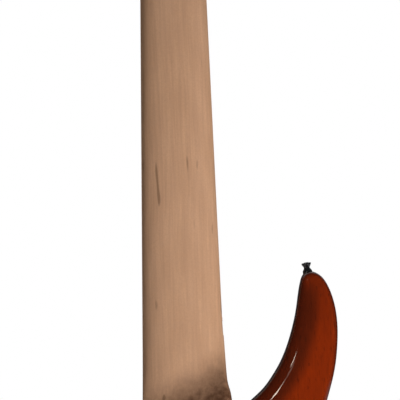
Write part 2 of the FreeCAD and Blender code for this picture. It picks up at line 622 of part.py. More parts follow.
def tuner_plate():
    """The base plate with its two bearing lugs."""
    base = round_plate(-PLATE_X, PLATE_X, PLATE_LOW, PLATE_HIGH, 2.5, -PLATE_THICK - TOUCH, -TOUCH)
    lugs = []
    for x0, x1 in ((-LUG_OUT, -LUG_IN), (LUG_IN, LUG_OUT)):
        block = box(x0, x1, WORM_Y - 1.0, -PLATE_THICK, WORM_Z - 3.4, WORM_Z + 3.4)
        nose = rod(3.4, V(x0, WORM_Y, WORM_Z), X, x1 - x0)
        lugs += [block, nose]
    solid = fuse([base, *lugs])
    cuts = [rod(SHAFT_R + SHAFT_PLAY, V(-20, WORM_Y, WORM_Z), X, 40),
            rod(POST_R + 0.3, V(0, -5, 0), Y, 10)]
    cuts += [rod(1.0 + DRILL_PLAY, V(x, -5, z), Y, 10) for x, z in PLATE_SCREWS]
    return solid.cut(cuts)


def tuner_bushing():
    """The sleeve and flange around the post on the headstock's face."""
    face = HEAD_THICK
    fit = HOLE_R - 2 * DRILL_PLAY
    return turned([(POST_R + SHAFT_PLAY, face - 10), (fit, face - 10), (fit, face + TOUCH),
                   (9.0, face + TOUCH), (8.6, face + 1.3), (POST_R + SHAFT_PLAY, face + 2.0)],
                  V(0, 0, 0), Y)


def worm_thread():
    """One worm thread, swept along a helix and trimmed square at both ends."""
    root, crest = WORM_PITCH_R - TOOTH_DED, WORM_PITCH_R + TOOTH_ADD
    sink = 0.25
    at_root = THREAD_WIDTH / 2 + (TOOTH_DED + sink) * math.tan(FLANK)
    at_crest = THREAD_WIDTH / 2 - TOOTH_ADD * math.tan(FLANK)
    helix = Part.makeHelix(WORM_PITCH, WORM_TURNS * WORM_PITCH, WORM_PITCH_R)
    ring = [V(root - sink, 0, -at_root), V(crest, 0, -at_crest), V(crest, 0, at_crest),
            V(root - sink, 0, at_root)]
    sweep = Part.BRepOffsetAPI.MakePipeShell(helix)
    sweep.setFrenetMode(True)
    sweep.add(Part.makePolygon(ring + ring[:1]))
    sweep.build()
    sweep.makeSolid()
    thread = sweep.shape()
    keep = Part.makeCylinder(crest + 1, (WORM_TURNS - 0.8) * WORM_PITCH, V(0, 0, 0.4 * WORM_PITCH))
    return thread.common(keep)


def worm_shaft():
    """Worm and shaft along +X, with the thread's middle at the origin."""
    root = WORM_PITCH_R - TOOTH_DED
    thread = worm_thread()
    thread.translate(V(0, 0, -WORM_TURNS // 2 * WORM_PITCH))
    thread.rotate(V(0, 0, 0), Y, 90)
    core = rod(root, V(-LUG_IN + 0.15, 0, 0), X, 2 * LUG_IN - 0.3)
    shaft = rod(SHAFT_R, V(-LUG_OUT - 1.2, 0, 0), X, LUG_OUT + 1.2 + KEY_START + 2)
    collar = rod(3.0, V(LUG_OUT + 0.15, 0, 0), X, 2.0)
    return fuse([core, shaft, collar]).fuse(thread)


def tuner_key():
    """The worm with its cloverleaf key on the end."""
    start, half = KEY_START, KEY_HALF
    mid = start + KEY_LENGTH * 0.52
    lobes = [Part.makeCylinder(6.0, KEY_THICK, V(mid, -KEY_THICK / 2, s * (half - 6.0)), Y)
             for s in (-1, 1)]
    lobes.append(Part.makeCylinder(6.4, KEY_THICK, V(start + KEY_LENGTH - 6.4, -KEY_THICK / 2, 0), Y))
    web = Part.makeCylinder(6.6, KEY_THICK, V(mid, -KEY_THICK / 2, 0), Y)
    clover = fuse([web, *lobes])
    clover = clover.makeChamfer(0.7, [e for e in clover.Edges
                                      if abs(abs(e.CenterOfMass.y) - KEY_THICK / 2) < 1e-6])
    stem = rod(3.0, V(start - 2.5, 0, 0), X, 9.0)
    key = worm_shaft().fuse([clover, stem])
    key.translate(V(0, WORM_Y, WORM_Z))
    return key


def gear_wheel():
    """The wheel: a disc with a slanting slot for each gap between its teeth."""
    outer, root = GEAR_PITCH_R + TOOTH_ADD, GEAR_PITCH_R - TOOTH_DED
    disc = rod(outer, V(0, -GEAR_DROP - GEAR_THICK, 0), Y, GEAR_THICK)
    lead = math.degrees(math.atan(WORM_PITCH / (2 * math.pi * WORM_PITCH_R)))
    at_root = SLOT_WIDTH / 2 - TOOTH_DED * math.tan(FLANK)
    at_top = SLOT_WIDTH / 2 + (TOOTH_ADD + 1) * math.tan(FLANK)
    ring = [V(-at_root, -GEAR_THICK, root), V(at_root, -GEAR_THICK, root),
            V(at_top, -GEAR_THICK, outer + 1), V(-at_top, -GEAR_THICK, outer + 1)]
    slots = []
    for k in range(GEAR_TEETH):
        slot = Part.Face(Part.makePolygon(ring + ring[:1])).extrude(V(0, 2 * GEAR_THICK, 0))
        slot.rotate(V(0, 0, 0), Z, -lead)
        slot.translate(V(0, WORM_Y, 0))
        slot.rotate(V(0, 0, 0), Y, 360 * k / GEAR_TEETH)
        slots.append(slot)
    return disc.cut(slots)


def string_of_machine(n):
    return n if n < 3 else STRINGS + 2 - n


def wrap_height(n):
    """Height above the headstock's back where machine n's string leaves its post."""
    r = STRING_R[string_of_machine(n)]
    return HEAD_THICK + WRAP_LOW + r


def tuner_post(n):
    """Post and wheel, the screw that joins them, and the turns of string wound on the post."""
    top = HEAD_THICK + POST_REACH
    r = STRING_R[string_of_machine(n)]
    waist_low, waist_high = HEAD_THICK + WRAP_LOW - 0.6, top - 4.0
    profile = [(0, -GEAR_DROP), (POST_R, -GEAR_DROP), (POST_R, waist_low - 0.8),
               (POST_WAIST_R, waist_low), (POST_WAIST_R, waist_high), (POST_R, waist_high + 0.8),
               (POST_R, top - 0.6), (POST_R - 0.6, top), (0, top)]
    post = turned(profile, V(0, 0, 0), Y)
    post = post.cut([box(-1.7, 1.7, top - 5.5, top + 1, -8, 8), rod(1.9, V(0, top - 10, 0), Y, 12)])
    screw = round_screw(V(0, -GEAR_DROP - GEAR_THICK - TOUCH, 0), Y, 1.4, 3.1, 8.0)
    drill = rod(1.4 + DRILL_PLAY, V(0, -20, 0), Y, 20.1 + 8 - GEAR_DROP - GEAR_THICK)
    wheel = gear_wheel().cut(drill)
    post = post.cut(drill)
    turns = 2 if r > 1.1 else 3
    coils = [Part.makeTorus(POST_WAIST_R + r + TOUCH, r, V(0, wrap_height(n) + 2 * (r + TOUCH) * k, 0), Y)
             for k in range(turns)]
    return [post, wheel, screw, *coils]


# ---- strings -------------------------------------------------------------------------------------
def crest_point(i):
    """Centre of string i above its saddle's crest."""
    z = saddle_z(i)
    return V(string_x(i, z), crest_y(i) + STRING_R[i] + TOUCH, z)


def string_points(i):
    """Centre line of string i: ball end, bend behind its saddle, nut, and the end near its windings.
    It runs straight as far as its saddle travels."""
    r = STRING_R[i]
    crest = crest_point(i)
    nut = V(string_x(i, NUT_Z), nut_y(i) + r + TOUCH, NUT_Z + 0.5)
    bend = crest + (crest - nut).normalize() * SADDLE_TRAVEL
    ball = V(crest.x, crest.y - 2.2, RAIL_LOW_Z + 4.0)
    n = machine_of_string(i)
    wound = POST_WAIST_R + r + TOUCH
    x, v = POSTS[n % 3]
    centre = Part.Vertex(V(x - wound, wrap_height(n) - HEAD_THICK, v - 2.0))
    end = on_head(centre).Point
    if n >= 3:
        end = V(-end.x, end.y, end.z)
    short = math.sqrt((wound + 2 * r + 0.3) ** 2 - wound ** 2)
    return [ball, bend, nut, end + (nut - end).normalize() * short]


def strings():
    made = []
    for i, r in enumerate(STRING_R):
        points = string_points(i)
        runs = [rod(r, a, b - a, (b - a).Length) for a, b in zip(points, points[1:])]
        knees = [Part.makeSphere(r, p) for p in points[1:-1]]
        ball = rod(r + 1.3, points[0] - V(2.4, 0, 0), X, 4.8)
        made.append(runs[0].multiFuse([*runs[1:], *knees, ball]))
    return [m.Solids[0] for m in made]


# ---- bridge --------------------------------------------------------------------------------------
def rail_x(i):
    return string_x(i, saddle_z(i))


def rail_screws(play=0.0):
    seat = BODY_HALF + RAIL_FLOOR + TOUCH
    made = []
    for i in range(STRINGS):
        for z in (RAIL_LOW_Z + ANCHOR_LENGTH + 5.0, RAIL_TOP_Z - 4.5):
            made.append(round_screw(V(rail_x(i), seat, z), V(0, -1, 0), RAIL_SCREW_R, 2.7, 16.0, play))
    return made


def bridge_rail(i):
    """One string's rail: floor, two low side walls and the anchor block that holds the ball end."""
    w = RAIL_WIDTH / 2
    y0 = BODY_HALF + TOUCH
    y1 = y0 + RAIL_FLOOR - TOUCH
    floor = round_plate(-w, w, RAIL_LOW_Z, RAIL_TOP_Z, 3.0, y0, y1)
    walls = [box(s, s + RAIL_WALL, y0, y0 + RAIL_SIDE, RAIL_LOW_Z + 4, RAIL_TOP_Z - 9)
             for s in (-w, w - RAIL_WALL)]
    anchor = box(-w, w, y0, y0 + ANCHOR_HEIGHT, RAIL_LOW_Z, RAIL_LOW_Z + ANCHOR_LENGTH)
    back = [e for e in anchor.Edges if e.CenterOfMass.y > y0 + ANCHOR_HEIGHT - 1e-6
            and e.CenterOfMass.z < RAIL_LOW_Z + 1e-6]
    anchor = anchor.makeChamfer(5.0, back)
    solid = fuse([floor, *walls, anchor])
    r = STRING_R[i]
    ball, bend = string_points(i)[:2]
    up = V(0, bend.y - ball.y, bend.z - ball.z)
    string_way = rod(r + 0.35, V(0, ball.y, ball.z - 1), up, 20)
    ball_seat = box(-2.8, 2.8, ball.y - r - 1.6, 60, ball.z - r - 1.6, ball.z + r + 1.6)
    open_slot = box(-r - 0.35, r + 0.35, ball.y, 60, ball.z, RAIL_LOW_Z + ANCHOR_LENGTH + 1)
    head_seat = rod(3.0, V(0, INTONATION_Y, RAIL_LOW_Z - 1), Z, 4.0)
    screw_way = rod(INTONATION_R + INTONATION_PLAY, V(0, INTONATION_Y, RAIL_LOW_Z - 1), Z, 40)
    holes = [rod(RAIL_SCREW_R + DRILL_PLAY, V(0, 0, z), Y, 40)
             for z in (RAIL_LOW_Z + ANCHOR_LENGTH + 5.0, RAIL_TOP_Z - 4.5)]
    head_ways = [rod(3.1, V(0, y1, z), Y, 30)
                 for z in (RAIL_LOW_Z + ANCHOR_LENGTH + 5.0, RAIL_TOP_Z - 4.5)]
    solid = solid.cut([string_way, ball_seat, open_slot, head_seat, screw_way, *holes, *head_ways])
    solid.translate(V(rail_x(i), 0, 0))
    return solid


INTONATION_Y = BODY_HALF + 7.2


def intonation_screw(i):
    x = rail_x(i)
    shank = rod(INTONATION_R, V(x, INTONATION_Y, RAIL_LOW_Z + 1), Z, RAIL_TOP_Z - RAIL_LOW_Z - 13)
    head = rod(2.8, V(x, INTONATION_Y, RAIL_LOW_Z + 0.6), Z, 2.3)
    slot = box(x - 4, x + 4, INTONATION_Y - 0.4, INTONATION_Y + 0.4, RAIL_LOW_Z - 1, RAIL_LOW_Z + 1.6)
    return shank.fuse(head).cut(slot)


def saddle(i):
    """A saddle block on its two height screws. It slides along the rail on the intonation screw."""
    w = RAIL_WIDTH / 2 - RAIL_WALL - SADDLE_PLAY
    z, top = saddle_z(i), crest_y(i)
    low = BODY_HALF + RAIL_FLOOR + SADDLE_LIFT
    half = SADDLE_LENGTH / 2
    side = [V(-w, low, z - half), V(-w, top - 3.4, z - half), V(-w, top - 0.4, z - 2.2),
            V(-w, top + 0.6, z - 0.6), V(-w, top + 0.6, z + 0.9), V(-w, top - 3.0, z + half),
            V(-w, low, z + half)]
    block = Part.Face(Part.makePolygon(side + side[:1])).extrude(V(2 * w, 0, 0))
    r = STRING_R[i]
    bend, nut = string_points(i)[1:3]
    along = (nut - bend).normalize() * 12
    start = V(0, crest_point(i).y, z)
    groove = [string_slot(start, d, r + STRING_PLAY) for d in (along, along * -1)]
    bore = rod(INTONATION_R + INTONATION_PLAY, V(0, INTONATION_Y, z - 20), Z, 40)
    posts_x = w - GRUB_R - 0.35
    grub_top = top - 3.6
    grub_z = z + half - 4.2
    holes = [rod(GRUB_R + DRILL_PLAY, V(s * posts_x, low - 1, grub_z), Y, 60) for s in (-1, 1)]
    block = block.cut([*groove, bore, *holes])
    grubs = [rod(GRUB_R, V(s * posts_x, BODY_HALF + RAIL_FLOOR + TOUCH, grub_z), Y,
                 grub_top - BODY_HALF - RAIL_FLOOR) for s in (-1, 1)]
    keyed = [Part.Face(hex_wire(0.75, V(s * posts_x, grub_top - 1.2, grub_z))).extrude(V(0, 2, 0))
             for s in (-1, 1)]
    solids = [max(block.Solids, key=lambda s: s.Volume)] + [g.cut(k) for g, k in zip(grubs, keyed)]
    for s in solids:
        s.translate(V(rail_x(i), 0, 0))
    return solids


def hex_wire(radius, centre):
    """A hexagon lying across the Y axis."""
    ring = [centre + V(radius * math.cos(math.radians(60 * k)), 0, radius * math.sin(math.radians(60 * k)))
            for k in range(6)]
    return Part.makePolygon(ring + ring[:1])


# ---- pickups -------------------------------------------------------------------------------------
def pickup_cover(z):
    """A moulded cover, open underneath."""
    w, half = PICKUP_WIDTH / 2, PICKUP_LENGTH / 2
    shell = round_plate(-w, w, z - half, z + half, PICKUP_CORNER, PICKUP_BOTTOM, PICKUP_TOP)
    rim = [e for e in shell.Edges if abs(e.CenterOfMass.y - PICKUP_TOP) < 1e-6]
    shell = shell.makeFillet(1.2, rim)
    inner = PICKUP_WALL
    ear = PICKUP_SCREW[0] - PICKUP_SCREW_R - 2.6
    hollow = box(-ear, ear, PICKUP_BOTTOM - 1, PICKUP_TOP - inner, z - half + inner, z + half - inner)
    dx, dz = PICKUP_SCREW
    holes = []
    for sx in (-1, 1):
        for sz in (-1, 1):
            at = V(sx * dx, 0, z + sz * dz)
            holes += [rod(PICKUP_SCREW_R + DRILL_PLAY, at, Y, 60),
                      rod(2.9, at + V(0, PICKUP_TOP - 2.4, 0), Y, 10)]
    return [shell.cut([hollow, *holes])]


def pickup_coils(z):
    """Two bobbins of wire, each round its bar magnet, potted inside the cover."""
    made = []
    length = PICKUP_SCREW[0] - PICKUP_SCREW_R - 4.4
    for s in (-1, 1):
        zc = z + s * 8.2
        y0, y1 = PICKUP_BOTTOM + 0.6, PICKUP_TOP - PICKUP_WALL - 0.4
        coil = round_plate(-length, length, zc - 7.6, zc + 7.6, 5.0, y0 + 2, y1 - 2)
        flanges = [round_plate(-length - 0.6, length + 0.6, zc - 8.0, zc + 8.0, 5.0, a, a + 1.9)
                   for a in (y0, y1 - 1.9)]
        core = box(-length + 9, length - 9, y0, y1, zc - 2.2, zc + 2.2)
        made.append(coil.cut(core))
        made += [f.cut(core) for f in flanges]
        made.append(core)
    return made


def pickup_screws(z):
    dx, dz = PICKUP_SCREW
    seat = PICKUP_TOP - 2.4 + TOUCH
    return [round_screw(V(sx * dx, seat, z + sz * dz), V(0, -1, 0), PICKUP_SCREW_R, 2.5,
                        PICKUP_SCREW_LENGTH - 3.0) for sx in (-1, 1) for sz in (-1, 1)]


# ---- controls ------------------------------------------------------------------------------------
SWITCH_BUSH_R = 2.9


def knob(at):
    """A milled control knob and the potentiometer shaft that it is fixed to."""
    x, z = at
    base = BODY_HALF + KNOB_GAP
    top = base + KNOB_HEIGHT
    cap = turned([(0, base), (KNOB_R, base), (KNOB_R, base + 1.4), (KNOB_R - 0.9, base + 2.0),
                  (KNOB_R - 0.9, top - 2.6), (KNOB_R - 1.6, top - 0.9), (KNOB_R - 3.4, top), (0, top)],
                 V(x, 0, z), Y)
    bore = rod(POT_SHAFT_R + 0.02, V(x, base - 1, z), Y, 11.0)
    nut_room = rod(POT_NUT_R + 0.7, V(x, base - 1, z), Y, 1.9)
    mark = box(x - 0.5, x + 0.5, top - 0.6, top + 1, z + 1.5, z + KNOB_R)
    shaft_low = BODY_HALF - TOP_SKIN - POT_HEIGHT + 2.0
    shaft = rod(POT_SHAFT_R, V(x, shaft_low, z), Y, base + 9.0 - shaft_low)
    return [cap.cut([bore, nut_room, mark]), shaft]


def pot(at):
    """A potentiometer: its can, its threaded bush and its row of solder lugs."""
    x, z = at
    top = BODY_HALF - TOP_SKIN - TOUCH
    can = rod(POT_R, V(x, top - POT_HEIGHT, z), Y, POT_HEIGHT - 1.2)
    plate_face = rod(POT_R - 0.4, V(x, top - 1.2, z), Y, 1.2)
    bush = rod(POT_BUSH_R, V(x, top - 1, z), Y, TOP_SKIN + 3.6)
    lugs = [box(x + dx - 1, x + dx + 1, top - 5.5, top - 4.7, z - POT_R - 4.5, z - POT_R + 1)
            for dx in (-5, 0, 5)]
    hollow = rod(POT_SHAFT_R + SHAFT_PLAY, V(x, top - POT_HEIGHT + 1.6, z), Y, 40)
    return fuse([can, plate_face, bush, *lugs]).cut(hollow)


def pot_nut(at):
    """The washer and nut that clamp a potentiometer through the body's face."""
    x, z = at
    washer = rod(POT_NUT_R, V(x, BODY_HALF + TOUCH, z), Y, 0.6)
    face = Part.Face(hex_wire(POT_NUT_R - 0.2, V(x, BODY_HALF + TOUCH + 0.6, z)))
    nut = face.extrude(V(0, POT_NUT_THICK, 0))
    return washer.fuse(nut).cut(rod(POT_BUSH_R + TOUCH, V(x, 0, z), Y, 60))


SWITCH_PIVOT_Y = BODY_HALF + 1.8
SWITCH_THROW = math.tan(math.radians(12))
LEVER_R, LEVER_BALL_R, LEVER_ARM = 0.95, 1.8, 6.0


def lever_cone(down, up, play):
    """The room that the lever sweeps: a double cone with its waist at the pivot."""
    wide = [LEVER_R + play + h * SWITCH_THROW for h in (down, up)]
    return [(0, SWITCH_PIVOT_Y - down), (wide[0], SWITCH_PIVOT_Y - down), (LEVER_R + play, SWITCH_PIVOT_Y),
            (wide[1], SWITCH_PIVOT_Y + up), (0, SWITCH_PIVOT_Y + up)]


def switch_body():
    """A small toggle's case, threaded bush, nut and lugs."""
    x, z = SWITCH_AT
    top = BODY_HALF - TOP_SKIN - TOUCH
    case = box(x - 6, x + 6, top - 10, top, z - 4, z + 4)
    bush = rod(SWITCH_BUSH_R, V(x, top - 1, z), Y, TOP_SKIN + 5.2)
    lugs = [box(x + dx - 0.8, x + dx + 0.8, top - 14, top - 9, z - 0.4, z + 0.4) for dx in (-4, 0, 4)]
    nut = Part.Face(hex_wire(4.6, V(x, BODY_HALF + TOUCH, z))).extrude(V(0, 1.8, 0))
    sweep = turned(lever_cone(LEVER_ARM + 0.5, 6.0, 0.2), V(x, 0, z), Y)
    room = Part.makeSphere(LEVER_BALL_R + SHAFT_PLAY, V(x, SWITCH_PIVOT_Y, z))
    return [fuse([case, bush, nut, *lugs]).cut([sweep, room])]


def switch_lever():
    x, z = SWITCH_AT
    ball = Part.makeSphere(LEVER_BALL_R, V(x, SWITCH_PIVOT_Y, z))
    stem = rod(LEVER_R, V(x, SWITCH_PIVOT_Y - LEVER_ARM, z), Y, LEVER_ARM + 8)
    tip = SWITCH_PIVOT_Y + 15.5
    bat = turned([(0, tip - 9), (LEVER_R, tip - 9), (1.7, tip - 1.6), (1.3, tip - 0.4), (0, tip)],
                 V(x, 0, z), Y)
    return [ball.fuse([stem, bat])]


def output_jack():
    """A barrel socket through the body's side, its flange, and the two contact springs inside."""
    face = JACK_FACE_X
    barrel = rod(JACK_R, V(face + 0.2, 0, JACK_Z), X, JACK_LENGTH)
    flange = turned([(0, 0), (JACK_FLANGE_R, 0), (JACK_FLANGE_R, 1.2), (JACK_FLANGE_R - 1, 2.2), (0, 2.2)],
                    V(face - TOUCH, 0, JACK_Z), V(-1, 0, 0))
    bore = rod(JACK_BORE_R, V(face - 5, 0, JACK_Z), X, JACK_LENGTH + 20)
    solid = barrel.fuse([flange, rod(JACK_R, V(face - 1, 0, JACK_Z), X, 3)]).cut(bore)
    inner = face + 0.2 + JACK_LENGTH
    springs = []
    for s, reach in ((1, 9.0), (-1, 12.0)):
        leaf = box(inner - 0.6, inner + reach, s * 4.4 - 0.3, s * 4.4 + 0.3, JACK_Z - 1.5, JACK_Z + 1.5)
        springs.append(leaf.cut(rod(JACK_R + TOUCH, V(face, 0, JACK_Z), X, JACK_LENGTH + 0.2)))
    return [solid, *[s for leaf in springs for s in leaf.Solids]]


def cover_outline(y0, y1, play):
    x0, x1, z0, z1 = CONTROL_BOX
    grow = COVER_LEDGE - play
    full = round_plate(x0 - grow, x1 + grow, z0 - grow, z1 + grow, COVER_CORNER + grow, y0, y1)
    return full.common(control_limit(ROOM_WALL - COVER_LEDGE + play))


def cover_screw_places():
    """Five screws along the middle of the ledge: two inner corners, one between, two outside."""
    x0, x1, z0, z1 = CONTROL_BOX
    reach = (COVER_CORNER + COVER_LEDGE / 2) * math.sqrt(0.5)
    corner_x = x1 - COVER_CORNER + reach
    ledge = inset_line(ROOM_WALL - COVER_LEDGE / 2)
    outer = [min(ledge, key=lambda p: abs(p.z - z)) for z in (z0 + 18, z1 - 25)]
    return [(corner_x, z0 + COVER_CORNER - reach), (corner_x, z1 - COVER_CORNER + reach),
            (x1 + COVER_LEDGE / 2, (z0 + z1) / 2),
            *[(max(p.x, x0 - COVER_LEDGE / 2), p.z) for p in outer]]


def cover_screws(play=0.0):
    seat = -BODY_HALF + COVER_SINK
    return [round_screw(V(x, seat, z), Y, SMALL_SCREW_R, SMALL_HEAD_R, 12.0, play)
            for x, z in cover_screw_places()]


def control_cover():
    panel = cover_outline(-BODY_HALF + 0.1, -BODY_HALF + COVER_THICK - TOUCH, COVER_PLAY)
    holes = []
    for x, z in cover_screw_places():
        holes.append(rod(SMALL_SCREW_R + DRILL_PLAY, V(x, -40, z), Y, 80))
        holes.append(rod(SMALL_HEAD_R + 0.3, V(x, -40, z), Y,
                         40 - BODY_HALF + COVER_SINK + TOUCH))
    return [panel.cut(holes)]


def preamp_board():
    """The circuit board beside the pots, with its parts."""
    x0, x1, z0, z1 = -95.5, -69.5, 58.0, 98.0
    y = BODY_HALF - TOP_SKIN - 4.0
    board = box(x0, x1, y - 1.6, y, z0, z1)
    legs = [rod(1.8, V(x, y, z), Y, 4.0 - TOUCH) for x, z in
            ((x0 + 4, z0 + 4), (x1 - 4, z0 + 4), (x0 + 4, z1 - 4), (x1 - 4, z1 - 4))]
    chips = [box(x0 + 8, x0 + 16, y - 4.6, y - 1.6, z0 + 8, z0 + 18),
             box(x0 + 18, x0 + 24, y - 3.6, y - 1.6, z0 + 22, z0 + 30)]
    cans = [rod(2.5, V(x0 + dx, y - 8.6, z0 + dz), Y, 7.0) for dx, dz in ((6, 26), (13, 30), (24, 12))]
    return [fuse([board, *legs, *chips, *cans])]


# ---- battery -------------------------------------------------------------------------------------
def bezel_plate(play, lift):
    x, z = BATTERY_AT
    w, _, length = BOX_SIZE
    grow = BEZEL + play
    return round_plate(x - w / 2 - grow, x + w / 2 + grow, z - length / 2 - grow, z + length / 2 + grow,
                       3.0 + play, -BODY_HALF - lift, -BODY_HALF + BEZEL_THICK + play)


BATTERY_SCREW_Z = BOX_SIZE[2] / 2 + BEZEL / 2 - 0.2


def battery_screws(play=0.0):
    x, z = BATTERY_AT
    return [round_screw(V(x + sx * 14, -BODY_HALF + BEZEL_SINK, z - BATTERY_SCREW_Z), Y, 0.8, 1.5, 9.0, play)
            for sx in (-1, 1)]


HINGE_DY, HINGE_R, KNUCKLE_R = 2.0, 0.8, 1.75


def hinge_axis():
    """The lid's hinge pin: near the box's upper end, just inside the bezel."""
    z = BATTERY_AT[1] + BOX_SIZE[2] / 2 - BOX_WALL - KNUCKLE_R - 0.35
    return V(BATTERY_AT[0], -BODY_HALF + HINGE_DY, z)


def battery_box():
    """The moulded box and its bezel, two bezel screws, the hinge pin, and the contact clip."""
    x, z = BATTERY_AT
    w, d, length = BOX_SIZE
    outer = box(x - w / 2, x + w / 2, -BODY_HALF, -BODY_HALF + d, z - length / 2, z + length / 2)
    bezel = bezel_plate(0, -0.05)
    inner = box(x - w / 2 + BOX_WALL, x + w / 2 - BOX_WALL, -BODY_HALF - 3, -BODY_HALF + d - BOX_WALL,
                z - length / 2 + BOX_WALL, z + length / 2 - BOX_WALL)
    pin_at = hinge_axis()
    pin = rod(HINGE_R, pin_at - V(w / 2 - 0.2, 0, 0), X, w - 0.4)
    drills = battery_screws(DRILL_PLAY)
    seats = [rod(1.8, V(x + sx * 14, -40, z - BATTERY_SCREW_Z), Y, 40 - BODY_HALF + BEZEL_SINK + TOUCH)
             for sx in (-1, 1)]
    shell = fuse([outer, bezel]).cut([inner, rod(HINGE_R, pin_at - V(w / 2 - 0.2, 0, 0), X, w - 0.4),
                                      *drills, *seats])
    return [shell, pin, *battery_screws()]


def battery_lid():
    """The lid: a panel with knuckles round the hinge pin and a thumb latch at its lower edge."""
    x, z = BATTERY_AT
    w, _, length = BOX_SIZE
    at = hinge_axis()
    half = w / 2 - BOX_WALL - 0.3
    low = z - length / 2 + BOX_WALL + 0.3
    panel = box(x - half, x + half, -BODY_HALF + 0.1, -BODY_HALF + 1.9, low, at.z)
    barrel = rod(KNUCKLE_R, V(x - half, at.y, at.z), X, 2 * half)
    notch = box(x - 5, x + 5, -BODY_HALF - 1, -BODY_HALF + 0.8, low + 2.0, low + 7.0)
    catch = box(x - 4, x + 4, -BODY_HALF + 1.9, -BODY_HALF + 5.0, low, low + 1.4)
    bore = rod(HINGE_R + SHAFT_PLAY, V(x - half - 1, at.y, at.z), X, 2 * half + 2)
    solid = fuse([panel, barrel, catch]).cut([bore, notch])
    return [max(solid.Solids, key=lambda s: s.Volume)]


def battery():
    """A block battery with its two snap terminals, standing in the box."""
    x, z = BATTERY_AT
    bx, by, bz = BATTERY
    low = z - BOX_SIZE[2] / 2 + BOX_WALL + 0.3
    y0 = -BODY_HALF + BOX_SIZE[1] - BOX_WALL - by - 0.3
    block = box(x - bx / 2, x + bx / 2, y0, y0 + by, low, low + bz - 2.5)
    block = block.makeFillet(1.5, [e for e in block.Edges if abs(e.tangentAt(e.FirstParameter).z) > 0.9])
    snaps = [rod(2.6, V(x + s * 6.3, y0 + by / 2, low + bz - 2.5), Z, 2.5) for s in (-1, 1)]
    return [block.fuse(snaps)]


# ---- strap buttons -------------------------------------------------------------------------------
def strap_button(seat, axis):
    """A turned button: base, waist and flared rim, countersunk for its screw."""
    b, w, r, length = BUTTON_BASE_R, BUTTON_WAIST_R, BUTTON_RIM_R, BUTTON_LENGTH
    bore = STRAP_SCREW_R + DRILL_PLAY
    profile = [(bore, TOUCH), (b, TOUCH), (b, 2.4), (b - 0.5, 3.3), (w + 0.2, 4.2), (w, 5.0),
               (w + 0.2, 5.9), (r - 0.3, length - 0.9), (r, length - 0.4), (r - 0.3, length),
               (3.1, length), (2.7, length - 1.6), (bore, length - 2.9)]
    return turned(profile, seat, axis)


def strap_screw(seat, axis, play=0.0):
    """The long countersunk screw through a strap button."""
    if play:
        return rod(STRAP_SCREW_R + play, seat + axis * 2, axis * -1, STRAP_SCREW_LENGTH)
    top = BUTTON_LENGTH
    profile = [(0, top - STRAP_SCREW_LENGTH - 6), (STRAP_SCREW_R, top - STRAP_SCREW_LENGTH - 3),
               (STRAP_SCREW_R, top - 2.8), (2.55, top - 1.6), (2.9, top - 0.25), (2.2, top + 0.4),
               (0, top + 0.6)]
    body = turned(profile, seat, axis)
    cross = [box(-1.7, 1.7, -0.45, 0.45, top - 0.9, top + 2),
             box(-0.45, 0.45, -1.7, 1.7, top - 0.9, top + 2)]
    for c in cross:
        c.Placement = FreeCAD.Placement(seat, FreeCAD.Rotation(Z, axis))
    return body.cut(cross)


def button_places():
    return [(V(HORN_SEAT[0], 0, HORN_SEAT[1]), horn_axis()), (V(0, 0, 0), V(0, 0, -1))]


# ---- wiring --------------------------------------------------------------------------------------
def wiring():
    """Straight runs of insulated wire in the drilled ways."""
    deep = CAVITY_FLOOR_Y + 4.5
    gap = PICKUP_LENGTH / 2
    z_bridge, z_neck = PICKUP_Z["bridge"], PICKUP_Z["neck"]
    x1 = CONTROL_BOX[1]
    return [rod(1.3, V(x1 - 7, deep - 1.65, z_bridge), X, -x1 + 7 - PICKUP_WIDTH / 2 + 5),
            rod(1.3, V(-30, deep - 1.65, z_bridge + gap - 3), Z, z_neck - z_bridge - 2 * gap + 6),
            rod(1.1, V(x1 - 5, deep - 7.85, BATTERY_AT[1] - 10), X,
                BATTERY_AT[0] - BOX_SIZE[0] / 2 - x1 + 4)]


